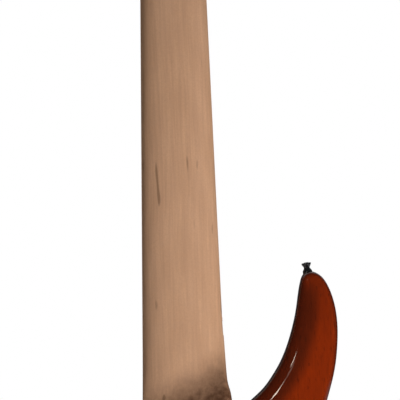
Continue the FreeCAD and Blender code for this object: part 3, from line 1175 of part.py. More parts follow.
# ---- write every node ----------------------------------------------------------------------------
def nodes():
    """Yields every node's name and its list of solids."""
    yield "neck_core", neck_core()
    yield "upper_wing", upper_wing()
    yield "lower_wing", lower_wing()
    yield "fingerboard", fingerboard()
    yield "frets", frets()
    yield "position_dots", position_dots()
    yield "string_nut", string_nut()
    yield "truss_rod", truss_rod()
    yield "truss_nut", truss_nut()
    yield "truss_cover", truss_cover()
    yield "truss_cover_screws", [on_head(s) for s in truss_cover_screws()]
    base, bushing, key = tuner_plate(), tuner_bushing(), tuner_key()
    yield "tuner_plates", [on_machine(base, n) for n in range(6)]
    yield "tuner_bushings", [on_machine(bushing, n) for n in range(6)]
    yield "tuner_screws", [s for n in range(6) for s in plate_screws(n)]
    for n in range(6):
        yield f"tuner_key_{n + 1}", [on_machine(key, n)]
        yield f"tuner_post_{n + 1}", [on_machine(s, n) for s in tuner_post(n)]
    yield "strings", strings()
    yield "bridge_rails", [bridge_rail(i) for i in range(STRINGS)]
    yield "bridge_screws", rail_screws()
    yield "intonation_screws", [intonation_screw(i) for i in range(STRINGS)]
    for i in range(STRINGS):
        yield f"saddle_{i + 1}", saddle(i)
    for name, z in PICKUP_Z.items():
        yield f"{name}_pickup_cover", pickup_cover(z)
        yield f"{name}_pickup_coils", pickup_coils(z)
        yield f"{name}_pickup_screws", pickup_screws(z)
    for name, at in KNOBS.items():
        yield f"{name}_knob", knob(at)
    yield "pots", [pot(at) for at in KNOBS.values()]
    yield "pot_nuts", [pot_nut(at) for at in KNOBS.values()]
    yield "switch_body", switch_body()
    yield "switch_lever", switch_lever()
    yield "output_jack", output_jack()
    yield "control_cover", control_cover()
    yield "control_cover_screws", cover_screws()
    yield "preamp_board", preamp_board()
    yield "battery_box", battery_box()
    yield "battery_lid", battery_lid()
    yield "battery", battery()
    yield "strap_buttons", [strap_button(*p) for p in button_places()]
    yield "strap_screws", [strap_screw(*p) for p in button_places()]
    yield "wiring", wiring()


def main():
    os.makedirs("parts", exist_ok=True)
    for name, solids in nodes():
        shape = solids[0] if len(solids) == 1 else Part.makeCompound(solids)
        shape.exportStep(f"parts/{name}.step")
        print(name, len(solids), "solids", round(sum(s.Volume for s in solids), 1), "mm3",
              "valid" if all(s.isValid() for s in solids) else "NOT VALID", flush=True)


main()
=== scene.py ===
import json
import math

import bmesh
import bpy
import numpy as np
from mathutils import Matrix, Vector
from mathutils.kdtree import KDTree


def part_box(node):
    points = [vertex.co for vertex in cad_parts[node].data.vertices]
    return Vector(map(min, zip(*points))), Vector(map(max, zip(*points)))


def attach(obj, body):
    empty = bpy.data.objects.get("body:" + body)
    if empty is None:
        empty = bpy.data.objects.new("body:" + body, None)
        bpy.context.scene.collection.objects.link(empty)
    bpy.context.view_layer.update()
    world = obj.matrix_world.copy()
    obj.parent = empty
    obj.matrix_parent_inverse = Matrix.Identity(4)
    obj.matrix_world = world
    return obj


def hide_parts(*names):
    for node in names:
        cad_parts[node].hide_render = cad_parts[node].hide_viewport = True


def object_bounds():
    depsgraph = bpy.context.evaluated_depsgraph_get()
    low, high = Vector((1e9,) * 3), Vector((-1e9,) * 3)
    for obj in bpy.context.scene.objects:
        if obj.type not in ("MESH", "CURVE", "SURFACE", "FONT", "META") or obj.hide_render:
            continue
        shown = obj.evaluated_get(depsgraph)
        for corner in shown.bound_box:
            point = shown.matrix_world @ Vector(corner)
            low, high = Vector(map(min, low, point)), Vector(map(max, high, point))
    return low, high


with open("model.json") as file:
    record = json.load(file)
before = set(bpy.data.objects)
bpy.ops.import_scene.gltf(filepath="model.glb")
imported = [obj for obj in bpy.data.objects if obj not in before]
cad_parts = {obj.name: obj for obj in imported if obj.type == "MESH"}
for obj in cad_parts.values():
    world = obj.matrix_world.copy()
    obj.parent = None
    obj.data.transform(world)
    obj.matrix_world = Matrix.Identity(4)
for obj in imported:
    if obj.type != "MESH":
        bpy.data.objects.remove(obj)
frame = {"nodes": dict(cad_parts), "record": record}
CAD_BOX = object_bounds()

bl_info = {
    "name": "Six-String Electric Bass",
    "version": (1, 0, 0),
    "blender": (4, 5, 0),
    "location": "3D View > Sidebar > Bass",
    "description": "Builds the woods, finishes, hardware looks and studio of a through-neck bass",
    "category": "Object",
}

MM = 0.001
NODES = frame["nodes"]
SLOT_OF = {s["node"]: s["material_slot"] for s in frame["record"]["subparts"]}

# ---- places taken from the frame, in metres --------------------------------------------------
BOARD_LO, BOARD_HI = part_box("fingerboard")
NUT_LO, NUT_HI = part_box("string_nut")
GLUE_Y = BOARD_LO.y
BODY_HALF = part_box("lower_wing")[1].y
NUT_Z = NUT_LO.z
HEAD_Z = (NUT_LO.z + NUT_HI.z) / 2
TAIL_HALF = NUT_HI.x + (BOARD_HI.x - NUT_HI.x) / (BOARD_HI.z - BOARD_LO.z) * NUT_Z


def half_width(z):
    """Half the neck blank's width at a height."""
    return TAIL_HALF + (NUT_HI.x - TAIL_HALF) * z / NUT_Z


# ---- the outlines, in millimetres --------------------------------------------------------------
UPPER_EDGE = [(46.0, 309.2), (52.6, 308.8), (59.6, 311.6), (66.0, 316.5),
              (77.3, 327.0), (85.9, 338.4), (93.2, 350.3), (100.7, 367.1), (106.3, 384.4),
              (110.4, 401.7), (113.2, 419.0), (115.6, 429.8), (118.6, 435.8), (123.2, 438.0),
              (129.0, 437.6), (134.8, 434.0), (139.8, 427.0), (143.9, 417.5), (147.2, 405.0),
              (149.1, 387.0), (148.4, 367.0), (145.2, 344.0), (139.0, 321.0), (128.5, 285.0),
              (120.5, 246.0), (119.5, 208.0), (128.5, 168.0), (146.0, 128.0), (157.5, 92.0),
              (154.5, 55.0), (134.0, 22.0), (96.0, 5.5)]
UPPER_TOP_Z = 310.5
LOWER_EDGE = [(49.0, 243.4), (57.5, 246.6), (67.5, 258.5), (77.0, 276.0),
              (85.5, 293.0), (94.0, 304.0), (103.5, 306.0), (113.0, 299.0), (121.5, 282.0),
              (126.5, 260.0), (126.0, 230.0), (121.5, 200.0), (127.0, 163.0), (143.0, 126.0),
              (154.5, 92.0), (151.5, 55.0), (131.5, 22.0), (94.0, 5.5)]
LOWER_TOP_Z = 246.0
LIP_EDGE = [(47.6, 302.0), (46.9, 311.0), (46.0, 317.0), (45.2, 322.5), (43.6, 328.2),
            (42.4, 334.0), (41.6, 343.0), (40.9, 357.0), (40.1, 375.0), (39.25, 396.0)]
HEAD_EDGE = [(27.1, 0.0), (31.0, 8.0), (43.5, 23.0), (46.5, 40.0), (43.0, 84.0), (38.5, 126.0),
             (34.0, 144.0), (19.0, 151.0), (0.0, 155.0)]
HEAD_TILT = math.radians(10)
HEAD_FACE_Y = 22.0 * MM
HEAD_THICK = 15.0 * MM
PICKUP_SCREW_X, PICKUP_SCREW_Z = 49.0 * MM, 14.5 * MM    # from the middle of each pickup

# ---- fits and cuts ---------------------------------------------------------------------------
SHARP_ANGLE = math.radians(38)    # edges steeper than this stay crisp
POCKET_PLAY = 0.6 * MM            # round each pickup
POCKET_FLOOR = 8.0 * MM           # under each pickup
SCREW_HOLE_R = 1.7 * MM
CUT_CLEAR = 20.0 * MM             # how far a cutter passes the surface that it opens
COVER_PLAY = 0.3 * MM             # round the control cover
COVER_LEDGE = 6.0 * MM            # that the control cover rests on
FRONT_SKIN = 5.5 * MM             # wood left in front of the controls
JACK_FLANGE = 2.25 * MM
JACK_SPOT_R = 10.0 * MM
VIEW_X, VIEW_Z = 0.0205, 0.5103   # where the camera looks, in metres
SENSOR_MM = 36.0


# ---- settings ------------------------------------------------------------------------------------
class BassShape(bpy.types.PropertyGroup):
    rim: bpy.props.FloatProperty(
        name="Rim rounding", description="Radius of the body's rims",
        default=6.0 * MM, unit="LENGTH")
    contour_width: bpy.props.FloatProperty(
        name="Contour width", description="Width of the long horn's carved inner slope",
        default=21.0 * MM, unit="LENGTH")
    contour_depth: bpy.props.FloatProperty(
        name="Contour depth", description="Depth of the long horn's carved inner slope",
        default=9.0 * MM, unit="LENGTH")
    neck_round: bpy.props.FloatProperty(
        name="Neck roundness", description="Exponent of the neck's rounded back; 2 is an ellipse",
        default=2.3)
    neck_depth: bpy.props.FloatProperty(
        name="Neck depth", description="Wood under the fingerboard at the nut",
        default=14.5 * MM, unit="LENGTH")
    heel_soft: bpy.props.FloatProperty(
        name="Heel softness", description="Reach of the blend between the neck's back and the heel",
        default=12.0 * MM, unit="LENGTH")


class BassFinish(bpy.types.PropertyGroup):
    maple: bpy.props.FloatVectorProperty(
        name="Maple", description="Colour of the neck's wood", subtype="COLOR",
        default=(0.62, 0.355, 0.205))
    maple_dark: bpy.props.FloatVectorProperty(
        name="Maple lines", description="Colour of the maple's darker lines", subtype="COLOR",
        default=(0.40, 0.215, 0.12))
    stain: bpy.props.FloatVectorProperty(
        name="Heel stain", description="Stain that shades the heel into the body", subtype="COLOR",
        default=(0.105, 0.045, 0.022))
    mahogany: bpy.props.FloatVectorProperty(
        name="Mahogany", description="Colour of the stained body", subtype="COLOR",
        default=(0.215, 0.019, 0.0015))
    # Also painted as shade on the body's carved slope, edges and horn tip.
    mahogany_dark: bpy.props.FloatVectorProperty(
        name="Mahogany lines", description="Colour of its pores and shaded edges", subtype="COLOR",
        default=(0.035, 0.006, 0.002))
    gloss: bpy.props.FloatProperty(
        name="Lacquer", description="Strength of the body's clear lacquer", default=1.0,
        min=0.0, max=1.0, subtype="FACTOR")


class BassStage(bpy.types.PropertyGroup):
    distance: bpy.props.FloatProperty(
        name="Camera distance", description="From the camera to the instrument's back",
        default=2.5, unit="LENGTH")
    field: bpy.props.FloatProperty(
        name="Field of view", description="Width that the camera takes in at the instrument",
        default=0.386, unit="LENGTH")
    roll: bpy.props.FloatProperty(
        name="Camera roll", description="Turn of the camera about its own axis",
        default=math.radians(1.59), subtype="ANGLE")
    key: bpy.props.FloatProperty(
        name="Key light", description="Power of the main soft light", default=8.4, min=0.0)
    fill: bpy.props.FloatProperty(
        name="Fill lights", description="Power of each soft light on the strings' side",
        default=30.0, min=0.0)
    streak: bpy.props.FloatProperty(
        name="Streak light", description="Power of the small light that draws the horn's highlight",
        default=1.9, min=0.0)
    ambient: bpy.props.FloatProperty(
        name="Ambient", description="Brightness of the surroundings as they light the object",
        default=0.11, min=0.0)


def shape():
    return bpy.context.scene.bass_shape


def finish_settings():
    return bpy.context.scene.bass_finish


# ---- drawing curves ------------------------------------------------------------------------------
def smooth_curve(points, count):
    """An evenly spaced line of count points on the natural cubic spline through the given ones."""
    p = np.array(points, float)
    t = np.concatenate([[0], np.cumsum(np.linalg.norm(np.diff(p, axis=0), axis=1))])
    n, h = len(t), np.diff(t)
    a, b = np.eye(n), np.zeros(p.shape)
    for k in range(1, n - 1):
        a[k, k - 1:k + 2] = h[k - 1], 2 * (h[k - 1] + h[k]), h[k]
        b[k] = 6 * ((p[k + 1] - p[k]) / h[k] - (p[k] - p[k - 1]) / h[k - 1])
    m = np.linalg.solve(a, b)
    fine = np.linspace(0, t[-1], 8 * count)
    k = np.clip(np.searchsorted(t, fine) - 1, 0, n - 2)
    l, r, w = (t[k + 1] - fine)[:, None], (fine - t[k])[:, None], h[k][:, None]
    q = (m[k] * l ** 3 + m[k + 1] * r ** 3) / (6 * w) + (p[k] / w - m[k] * w / 6) * l \
        + (p[k + 1] / w - m[k + 1] * w / 6) * r
    arc = np.concatenate([[0], np.cumsum(np.linalg.norm(np.diff(q, axis=0), axis=1))])
    even = np.linspace(0, arc[-1], count)
    return np.stack([np.interp(even, arc, q[:, d]) for d in range(q.shape[1])], axis=1)


class Path:
    """A dense plane curve with positions and inward normals by distance along it."""

    def __init__(self, points, count=1600):
        self.line = smooth_curve(points, count)
        step = np.gradient(self.line, axis=0)
        step /= np.linalg.norm(step, axis=1)[:, None]
        self.inward = np.stack([step[:, 1], -step[:, 0]], axis=1)
        self.count = count

    def near(self, x, z):
        """Share of the way along at which the curve passes nearest to a point."""
        return float(np.argmin(np.hypot(self.line[:, 0] - x, self.line[:, 1] - z))) / (self.count - 1)

    def at(self, share, table=None):
        table = self.line if table is None else table
        f = min(max(share, 0.0), 1.0) * (self.count - 1)
        k = min(int(f), self.count - 2)
        return table[k] + (table[k + 1] - table[k]) * (f - k)

    def normal(self, share):
        n = self.at(share, self.inward)
        return n / np.linalg.norm(n)


def smooth_step(x, lo, hi):
    t = min(max((x - lo) / (hi - lo), 0.0), 1.0)
    return t * t * (3 - 2 * t)


def soft_min(a, b, k):
    h = max(k - abs(a - b), 0.0) / k
    return min(a, b) - h * h * k / 4


def soft_max(a, b, k):
    return -soft_min(-a, -b, k)


# ---- making pieces -------------------------------------------------------------------------------
def sheet_from(table):
    """A bmesh tube whose grid is carried to a table of rings, one row for each ring."""
    rows, columns = len(table), len(table[0])
    bm = bmesh.new()
    bmesh.ops.create_grid(bm, x_segments=columns, y_segments=rows - 1, size=0.5)
    for v in bm.verts:
        column = int(round((v.co.x + 0.5) * columns)) % columns
        row = int(round((v.co.y + 0.5) * (rows - 1)))
        v.co = table[row][column]
    bmesh.ops.remove_doubles(bm, verts=bm.verts, dist=2e-6)
    bmesh.ops.dissolve_degenerate(bm, dist=1e-7, edges=bm.edges)
    return bm


def close_ends(bm):
    """Fills what is still open and turns every face outwards."""
    rims = [e for e in bm.edges if e.is_boundary]
    if rims:
        bmesh.ops.holes_fill(bm, edges=rims, sides=0)
    bmesh.ops.recalc_face_normals(bm, faces=bm.faces)


def turned(profile, base, axis, segments=48):
    """A turned solid: profile lists (radius, height) up its axis, in millimetres."""
    bm = bmesh.new()
    ring = [bm.verts.new((r * MM, 0, h * MM)) for r, h in profile]
    edges = [bm.edges.new(pair) for pair in zip(ring, ring[1:])]
    bmesh.ops.spin(bm, geom=ring + edges, cent=(0, 0, 0), axis=(0, 0, 1), angle=math.tau,
                   steps=segments, use_merge=True)
    bmesh.ops.remove_doubles(bm, verts=bm.verts, dist=2e-6)
    close_ends(bm)
    turn = Vector((0, 0, 1)).rotation_difference(Vector(axis)).to_matrix().to_4x4()
    bmesh.ops.transform(bm, matrix=Matrix.Translation(base) @ turn, verts=bm.verts)
    return bm


def block(low, high):
    """A box between two corners."""
    bm = bmesh.new()
    low, high = Vector(low), Vector(high)
    bmesh.ops.create_cube(bm, size=1.0)
    for v in bm.verts:
        v.co = (low + high) / 2 + Vector(c * s for c, s in zip(v.co, high - low))
    return bm


def join(parts):
    """One bmesh from several."""
    whole = bmesh.new()
    for part in parts:
        mesh = bpy.data.meshes.new("part")
        part.to_mesh(mesh)
        part.free()
        whole.from_mesh(mesh)
        bpy.data.meshes.remove(mesh)
    return whole


def finish_piece(name, bm, slot, stands_for):
    """Turns a bmesh into a shaded piece that rides on the instrument and replaces a CAD node."""
    mesh = bpy.data.meshes.new(name)
    bm.to_mesh(mesh)
    bm.free()
    mesh.shade_smooth()
    mesh.set_sharp_from_angle(angle=SHARP_ANGLE)
    piece = bpy.data.objects.new(name, mesh)
    bpy.context.scene.collection.objects.link(piece)
    mesh.materials.append(finish(slot))
    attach(piece, "instrument")
    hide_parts(stands_for)
    return piece


def cut_away(piece, cutters):
    """Cuts pockets out of a piece for good."""
    mesh = bpy.data.meshes.new("cutters")
    tool = join(cutters)
    bmesh.ops.recalc_face_normals(tool, faces=tool.faces)
    tool.to_mesh(mesh)
    tool.free()
    helper = bpy.data.objects.new("cutters", mesh)
    bpy.context.scene.collection.objects.link(helper)
    cut = piece.modifiers.new("Pockets", "BOOLEAN")
    cut.operation, cut.solver, cut.object, cut.use_self = "DIFFERENCE", "EXACT", helper, True
    graph = bpy.context.evaluated_depsgraph_get()
    done = bpy.data.meshes.new_from_object(piece.evaluated_get(graph))
    piece.modifiers.remove(cut)
    old, piece.data = piece.data, done
    done.name = old.name
    bpy.data.meshes.remove(old)
    bpy.data.objects.remove(helper)
    bpy.data.meshes.remove(mesh)
    done.set_sharp_from_angle(angle=SHARP_ANGLE)


def shade(piece, name, value):
    """Stores a shade for every corner point, from 0 for none to 1 for full."""
    layer = piece.data.attributes.new(name, "FLOAT", "POINT")
    layer.data.foreach_set("value", [value(v.co) for v in piece.data.vertices])


# ---- shader graphs -------------------------------------------------------------------------------
class Graph:
    """Small help for writing node trees."""

    def __init__(self, tree):
        self.tree = tree

    def add(self, kind, settings=None, **inputs):
        node = self.tree.nodes.new(kind)
        for key, value in (settings or {}).items():
            setattr(node, key, value)
        for key, value in inputs.items():
            self.put(node, key.replace("_", " "), value)
        return node

    def put(self, node, key, value):
        socket = node.inputs[int(key[1:])] if key[1:].isdigit() and key[0] == "i" else node.inputs[key]
        if isinstance(value, bpy.types.NodeSocket):
            self.tree.links.new(value, socket)
        else:
            socket.default_value = value

    def math(self, operation, a, b=0.0, clamp=False):
        return self.add("ShaderNodeMath", {"operation": operation, "use_clamp": clamp},
                        i0=a, i1=b).outputs[0]

    def mix(self, amount, a, b):
        node = self.add("ShaderNodeMix", {"data_type": "RGBA", "clamp_factor": True})
        for socket, value in zip([node.inputs[0], node.inputs[6], node.inputs[7]], (amount, a, b)):
            if isinstance(value, bpy.types.NodeSocket):
                self.tree.links.new(value, socket)
            elif isinstance(value, (float, int)):
                socket.default_value = value
            else:
                socket.default_value = (*value, 1.0)
        return node.outputs[2]

    def band(self, value, lo, hi, out_lo=0.0, out_hi=1.0):
        return self.add("ShaderNodeMapRange", {"clamp": True}, Value=value, From_Min=lo, From_Max=hi,
                        To_Min=out_lo, To_Max=out_hi).outputs[0]

    def vector(self, operation, a, b):
        return self.add("ShaderNodeVectorMath", {"operation": operation}, i0=a, i1=b).outputs[0]

    def noise(self, vector, scale, detail=2.0, rough=0.5, distortion=0.0):
        return self.add("ShaderNodeTexNoise", {"noise_dimensions": "3D"}, Vector=vector, Scale=scale,
                        Detail=detail, Roughness=rough, Distortion=distortion).outputs["Fac"]

    def stretched(self, vector, x, y, z):
        return self.add("ShaderNodeMapping", None, Vector=vector, Scale=(x, y, z)).outputs[0]


def new_group(name, inputs, outputs):
    """A shader node group with named value, vector or colour sockets."""
    tree = bpy.data.node_groups.new(name, "ShaderNodeTree")
    kinds = {"value": "NodeSocketFloat", "vector": "NodeSocketVector", "colour": "NodeSocketColor"}
    for direction, sockets in (("INPUT", inputs), ("OUTPUT", outputs)):
        for label, kind, *default in sockets:
            socket = tree.interface.new_socket(name=label, in_out=direction, socket_type=kinds[kind])
            if default:
                socket.default_value = default[0]
    graph = Graph(tree)
    return graph, graph.add("NodeGroupInput").outputs, graph.add("NodeGroupOutput")


def wood_grain_group():
    """Fine lines, a broad figure and short dark pores, all running along Z."""
    g, given, out = new_group(
        "Wood grain",
        [("Place", "vector"), ("Line Scale", "value", 420.0), ("Figure Scale", "value", 22.0),
         ("Pore Scale", "value", 300.0), ("Pore Amount", "value", 0.2), ("Pore Stretch", "value", 6.0),
         ("Stretch", "value", 22.0)],
        [("Lines", "value"), ("Figure", "value"), ("Pores", "value")])
    squeeze = g.math("DIVIDE", 1.0, given["Stretch"])
    lengthwise = g.add("ShaderNodeCombineXYZ", None, X=1.0, Y=1.0, Z=squeeze).outputs[0]
    wander = g.noise(given["Place"], 5.0, 1.0)
    shift = g.add("ShaderNodeCombineXYZ", None, X=g.math("MULTIPLY", wander, 0.012),
                  Y=0.0, Z=0.0).outputs[0]
    place = g.vector("ADD", given["Place"], shift)
    along = g.vector("MULTIPLY", place, lengthwise)
    lines = g.noise(along, given["Line Scale"], 3.0, 0.62)
    broad = g.vector("MULTIPLY", place, (1.0, 1.0, 0.16))
    figure = g.noise(broad, given["Figure Scale"], 4.0, 0.55, 0.35)
    short = g.add("ShaderNodeCombineXYZ", None, X=1.0, Y=1.0,
                  Z=g.math("DIVIDE", 1.0, given["Pore Stretch"])).outputs[0]
    dashes = g.vector("MULTIPLY", place, short)
    pores = g.noise(dashes, given["Pore Scale"], 0.0, 0.4)
    limit = g.math("SUBTRACT", 0.86, g.math("MULTIPLY", given["Pore Amount"], 0.35))
    dark = g.band(pores, limit, g.math("ADD", limit, 0.05))
    for label, value in (("Lines", g.band(lines, 0.3, 0.7)), ("Figure", g.band(figure, 0.3, 0.7)),
                         ("Pores", dark)):
        g.put(out, label, value)
    return g.tree


def surface_wear_group():
    """Cloudy handling marks and fine grain for hard finishes."""
    g, given, out = new_group("Surface wear", [("Place", "vector"), ("Cloud Scale", "value", 60.0),
                                               ("Speck Scale", "value", 900.0)],
                              [("Clouds", "value"), ("Specks", "value")])
    g.put(out, "Clouds", g.band(g.noise(given["Place"], given["Cloud Scale"], 3.0, 0.6), 0.3, 0.7))
    g.put(out, "Specks", g.noise(given["Place"], given["Speck Scale"], 1.0, 0.5))
    return g.tree


def group(name):
    """The shared node group of that name, built once."""
    builders = {"Wood grain": wood_grain_group, "Surface wear": surface_wear_group}
    return bpy.data.node_groups.get(name) or builders[name]()


def start_material(slot, **settings):
    """A material with a Principled shader whose plain values are set on its own sockets."""
    material = bpy.data.materials.new(f"{slot}_finish")
    material.use_nodes = True
    g = Graph(material.node_tree)
    shader = material.node_tree.nodes["Principled BSDF"]
    for key, value in settings.items():
        shader.inputs[key.replace("_", " ")].default_value = value
    place = g.add("ShaderNodeTexCoord").outputs["Object"]
    return material, g, shader, place


def bump(g, shader, height, strength, distance):
    node = g.add("ShaderNodeBump", None, Height=height, Strength=strength, Distance=distance)
    g.put(shader, "Normal", node.outputs[0])


def grain_node(g, place, **values):
    node = g.add("ShaderNodeGroup", {"node_tree": group("Wood grain")}, Place=place)
    for key, value in values.items():
        node.inputs[key.replace("_", " ")].default_value = value
    return node.outputs


def wear_node(g, place, cloud=60.0, speck=900.0):
    node = g.add("ShaderNodeGroup", {"node_tree": group("Surface wear")}, Place=place)
    node.inputs["Cloud Scale"].default_value = cloud
    node.inputs["Speck Scale"].default_value = speck
    return node.outputs


def maple(slot):
    """Satin maple: fine lines, soft figure, short dark flecks, and stain where the heel begins."""
    look = finish_settings()
    m, g, shader, place = start_material(slot, IOR=1.46)
    fine = grain_node(g, place, Line_Scale=430.0, Figure_Scale=26.0, Pore_Scale=170.0, Pore_Amount=0.22,
                      Pore_Stretch=6.0, Stretch=26.0)
    marks = wear_node(g, place, 150.0, 700.0)
    wood = g.mix(g.math("MULTIPLY", fine["Lines"], 0.50), look.maple, look.maple_dark)
    wood = g.mix(g.math("MULTIPLY", fine["Figure"], 0.25), wood, (0.66, 0.40, 0.27))
    arches = g.add("ShaderNodeTexWave", {"wave_type": "RINGS", "rings_direction": "SPHERICAL"},
                   Vector=g.stretched(place, 1.0, 1.0, 0.13), Scale=34.0, Distortion=2.2, Detail=2.0,
                   Detail_Scale=2.0).outputs["Fac"]
    wood = g.mix(g.math("MULTIPLY", arches, 0.16), wood, look.maple_dark)
    wood = g.mix(g.math("MULTIPLY", marks["Clouds"], 0.16), wood, (0.46, 0.29, 0.20))
    wood = g.mix(g.math("MULTIPLY", g.band(marks["Specks"], 0.35, 0.7), 0.2), wood, look.maple_dark)
    wood = g.mix(g.math("MULTIPLY", fine["Pores"], 0.6), wood, (0.16, 0.08, 0.04))
    stain = g.add("ShaderNodeAttribute", {"attribute_name": "stain"}).outputs["Fac"]
    cloudy = g.math("MULTIPLY", stain, g.band(marks["Clouds"], 0.0, 1.0, 0.72, 1.2), clamp=True)
    wood = g.mix(cloudy, wood, look.stain)
    g.put(shader, "Base Color", wood)
    g.put(shader, "Roughness", g.band(fine["Lines"], 0.0, 1.0, 0.40, 0.50))
    bump(g, shader, fine["Lines"], 0.10, 0.0002)
    return m


def mahogany(slot):
    """Stained mahogany under deep clear lacquer, darker towards its carved slope, edges and horn tip by a
    real edge burst and by painted shade.
    """
    look = finish_settings()
    m, g, shader, place = start_material(slot, IOR=1.5, Coat_Weight=look.gloss, Coat_Roughness=0.03,
                                         Coat_IOR=1.5, Specular_IOR_Level=0.0)
    fine = grain_node(g, place, Line_Scale=620.0, Figure_Scale=18.0, Pore_Scale=950.0, Pore_Amount=0.55,
                      Pore_Stretch=7.0, Stretch=9.0)
    wood = g.mix(g.math("MULTIPLY", fine["Lines"], 0.34), look.mahogany, look.mahogany_dark)
    wood = g.mix(g.math("MULTIPLY", fine["Figure"], 0.35), wood, (0.26, 0.030, 0.002))
    wood = g.mix(g.math("MULTIPLY", fine["Pores"], 0.35), wood, (0.012, 0.003, 0.001))
    # Painted shade, with a real edge burst at the rims: the stored value darkens the body towards its
    # carved slope, edges and horn tip.
    edge = g.add("ShaderNodeAttribute", {"attribute_name": "edge_burst_and_painted_shade"}).outputs["Fac"]
    wood = g.mix(edge, wood, look.mahogany_dark)
    g.put(shader, "Base Color", wood)
    g.put(shader, "Roughness", g.band(fine["Lines"], 0.0, 1.0, 0.42, 0.55))
    return m


def rosewood(slot):
    """Oiled rosewood: brown streaks and open pores."""
    m, g, shader, place = start_material(slot, IOR=1.45)
    fine = grain_node(g, place, Line_Scale=330.0, Figure_Scale=34.0, Pore_Scale=700.0, Pore_Amount=0.75,
                      Pore_Stretch=12.0, Stretch=24.0)
    wood = g.mix(fine["Figure"], (0.085, 0.036, 0.020), (0.030, 0.014, 0.010))
    wood = g.mix(g.math("MULTIPLY", fine["Lines"], 0.5), wood, (0.12, 0.055, 0.028))
    wood = g.mix(fine["Pores"], wood, (0.008, 0.004, 0.003))
    g.put(shader, "Base Color", wood)
    g.put(shader, "Roughness", g.band(fine["Pores"], 0.0, 1.0, 0.48, 0.75))
    bump(g, shader, g.math("SUBTRACT", 1.0, fine["Pores"]), 0.25, 0.0003)
    return m


def hard_finish(slot, colour, second, rough, metallic=0.0, coat=0.0, cloud=60.0, speck=900.0,
                relief=0.02):
    """A plated, painted or moulded finish with handling marks and a fine surface."""
    m, g, shader, place = start_material(slot, Metallic=metallic, Coat_Weight=coat, Coat_Roughness=0.04)
    marks = wear_node(g, place, cloud, speck)
    g.put(shader, "Base Color", g.mix(g.math("MULTIPLY", marks["Clouds"], 0.6), colour, second))
    g.put(shader, "Roughness", g.band(marks["Clouds"], 0.0, 1.0, rough * 0.85, rough * 1.2))
    bump(g, shader, marks["Specks"], relief, 0.0001)
    return m


def wound_steel(slot):
    """Round-wound strings: bright nickel wire with the winding's fine ribs, and painted shade in the
    grooves between them.
    """
    m, g, shader, place = start_material(slot, Metallic=1.0)
    ribs = g.add("ShaderNodeTexWave", {"wave_type": "BANDS", "bands_direction": "Z", "wave_profile": "SIN"},
                 Vector=place, Scale=320.0, Distortion=0.0, Detail=0.0).outputs["Fac"]
    marks = wear_node(g, place, 40.0, 1500.0)
    tint = g.mix(g.math("MULTIPLY", marks["Clouds"], 0.5), (0.62, 0.60, 0.56), (0.46, 0.44, 0.41))
    # Painted shade: the colour is darkened in the grooves between the ribs.
    g.put(shader, "Base Color", g.mix(ribs, g.mix(0.55, tint, (0.16, 0.15, 0.14)), tint))
    g.put(shader, "Roughness", g.band(marks["Clouds"], 0.0, 1.0, 0.26, 0.36))
    bump(g, shader, ribs, 0.6, 0.0002)
    return m


def pearl(slot):
    """Mother-of-pearl dots: cloudy cream with faint pink and green."""
    m, g, shader, place = start_material(slot, Coat_Weight=0.6, Coat_Roughness=0.05)
    swirl = g.noise(place, 420.0, 3.0, 0.6, 1.2)
    cream = g.mix(g.band(swirl, 0.35, 0.65), (0.72, 0.70, 0.62), (0.60, 0.64, 0.60))
    g.put(shader, "Base Color", g.mix(g.band(swirl, 0.55, 0.7), cream, (0.78, 0.66, 0.62)))
    g.put(shader, "Roughness", g.band(swirl, 0.3, 0.7, 0.18, 0.3))
    return m


FINISHES = {
    "neck_maple": maple,
    "body_mahogany": mahogany,
    "rosewood": rosewood,
    "string_wire": wound_steel,
    "dot_inlay": pearl,
    "fret_wire": lambda s: hard_finish(s, (0.70, 0.69, 0.66), (0.58, 0.57, 0.54), 0.22, 1.0),
    "nut_bone": lambda s: hard_finish(s, (0.72, 0.66, 0.53), (0.62, 0.54, 0.40), 0.36, cloud=140.0),
    "rod_steel": lambda s: hard_finish(s, (0.45, 0.45, 0.45), (0.33, 0.32, 0.31), 0.38, 1.0),
    "cover_plastic": lambda s: hard_finish(s, (0.012, 0.012, 0.013), (0.02, 0.02, 0.021), 0.16, coat=0.4),
    "hardware_black": lambda s: hard_finish(s, (0.010, 0.010, 0.011), (0.022, 0.022, 0.024), 0.2,
                                            metallic=0.2, coat=0.8),
    "screw_black": lambda s: hard_finish(s, (0.030, 0.030, 0.032), (0.05, 0.048, 0.046), 0.32, 0.7),
    "gear_brass": lambda s: hard_finish(s, (0.030, 0.030, 0.032), (0.055, 0.052, 0.048), 0.28, 0.8),
    "pickup_plastic": lambda s: hard_finish(s, (0.012, 0.012, 0.012), (0.020, 0.020, 0.020), 0.42,
                                            speck=1600.0, relief=0.08),
    "coil_wire": lambda s: hard_finish(s, (0.20, 0.05, 0.02), (0.28, 0.09, 0.03), 0.35, speck=3000.0,
                                       relief=0.3),
    "pot_can": lambda s: hard_finish(s, (0.52, 0.51, 0.48), (0.40, 0.39, 0.36), 0.33, 1.0),
    "circuit_board": lambda s: hard_finish(s, (0.015, 0.10, 0.04), (0.02, 0.14, 0.06), 0.35, coat=0.5),
    "moulded_plastic": lambda s: hard_finish(s, (0.016, 0.016, 0.017), (0.024, 0.024, 0.025), 0.5,
                                             speck=1400.0, relief=0.2),
    "battery_case": lambda s: hard_finish(s, (0.05, 0.05, 0.055), (0.32, 0.17, 0.06), 0.3, 0.5, cloud=20.0),
    "wire_sleeve": lambda s: hard_finish(s, (0.02, 0.02, 0.02), (0.035, 0.03, 0.03), 0.5),
}


def finish(slot):
    """The material for a slot, made once."""
    return bpy.data.materials.get(f"{slot}_finish") or FINISHES[slot](slot)


def dress(*names):
    """Gives CAD nodes the finish of their own slots."""
    for name in names:
        data = NODES[name].data
        data.materials.clear()
        data.materials.append(finish(SLOT_OF[name]))


def nodes_like(*starts):
    return [n for n in NODES if n.startswith(starts)]


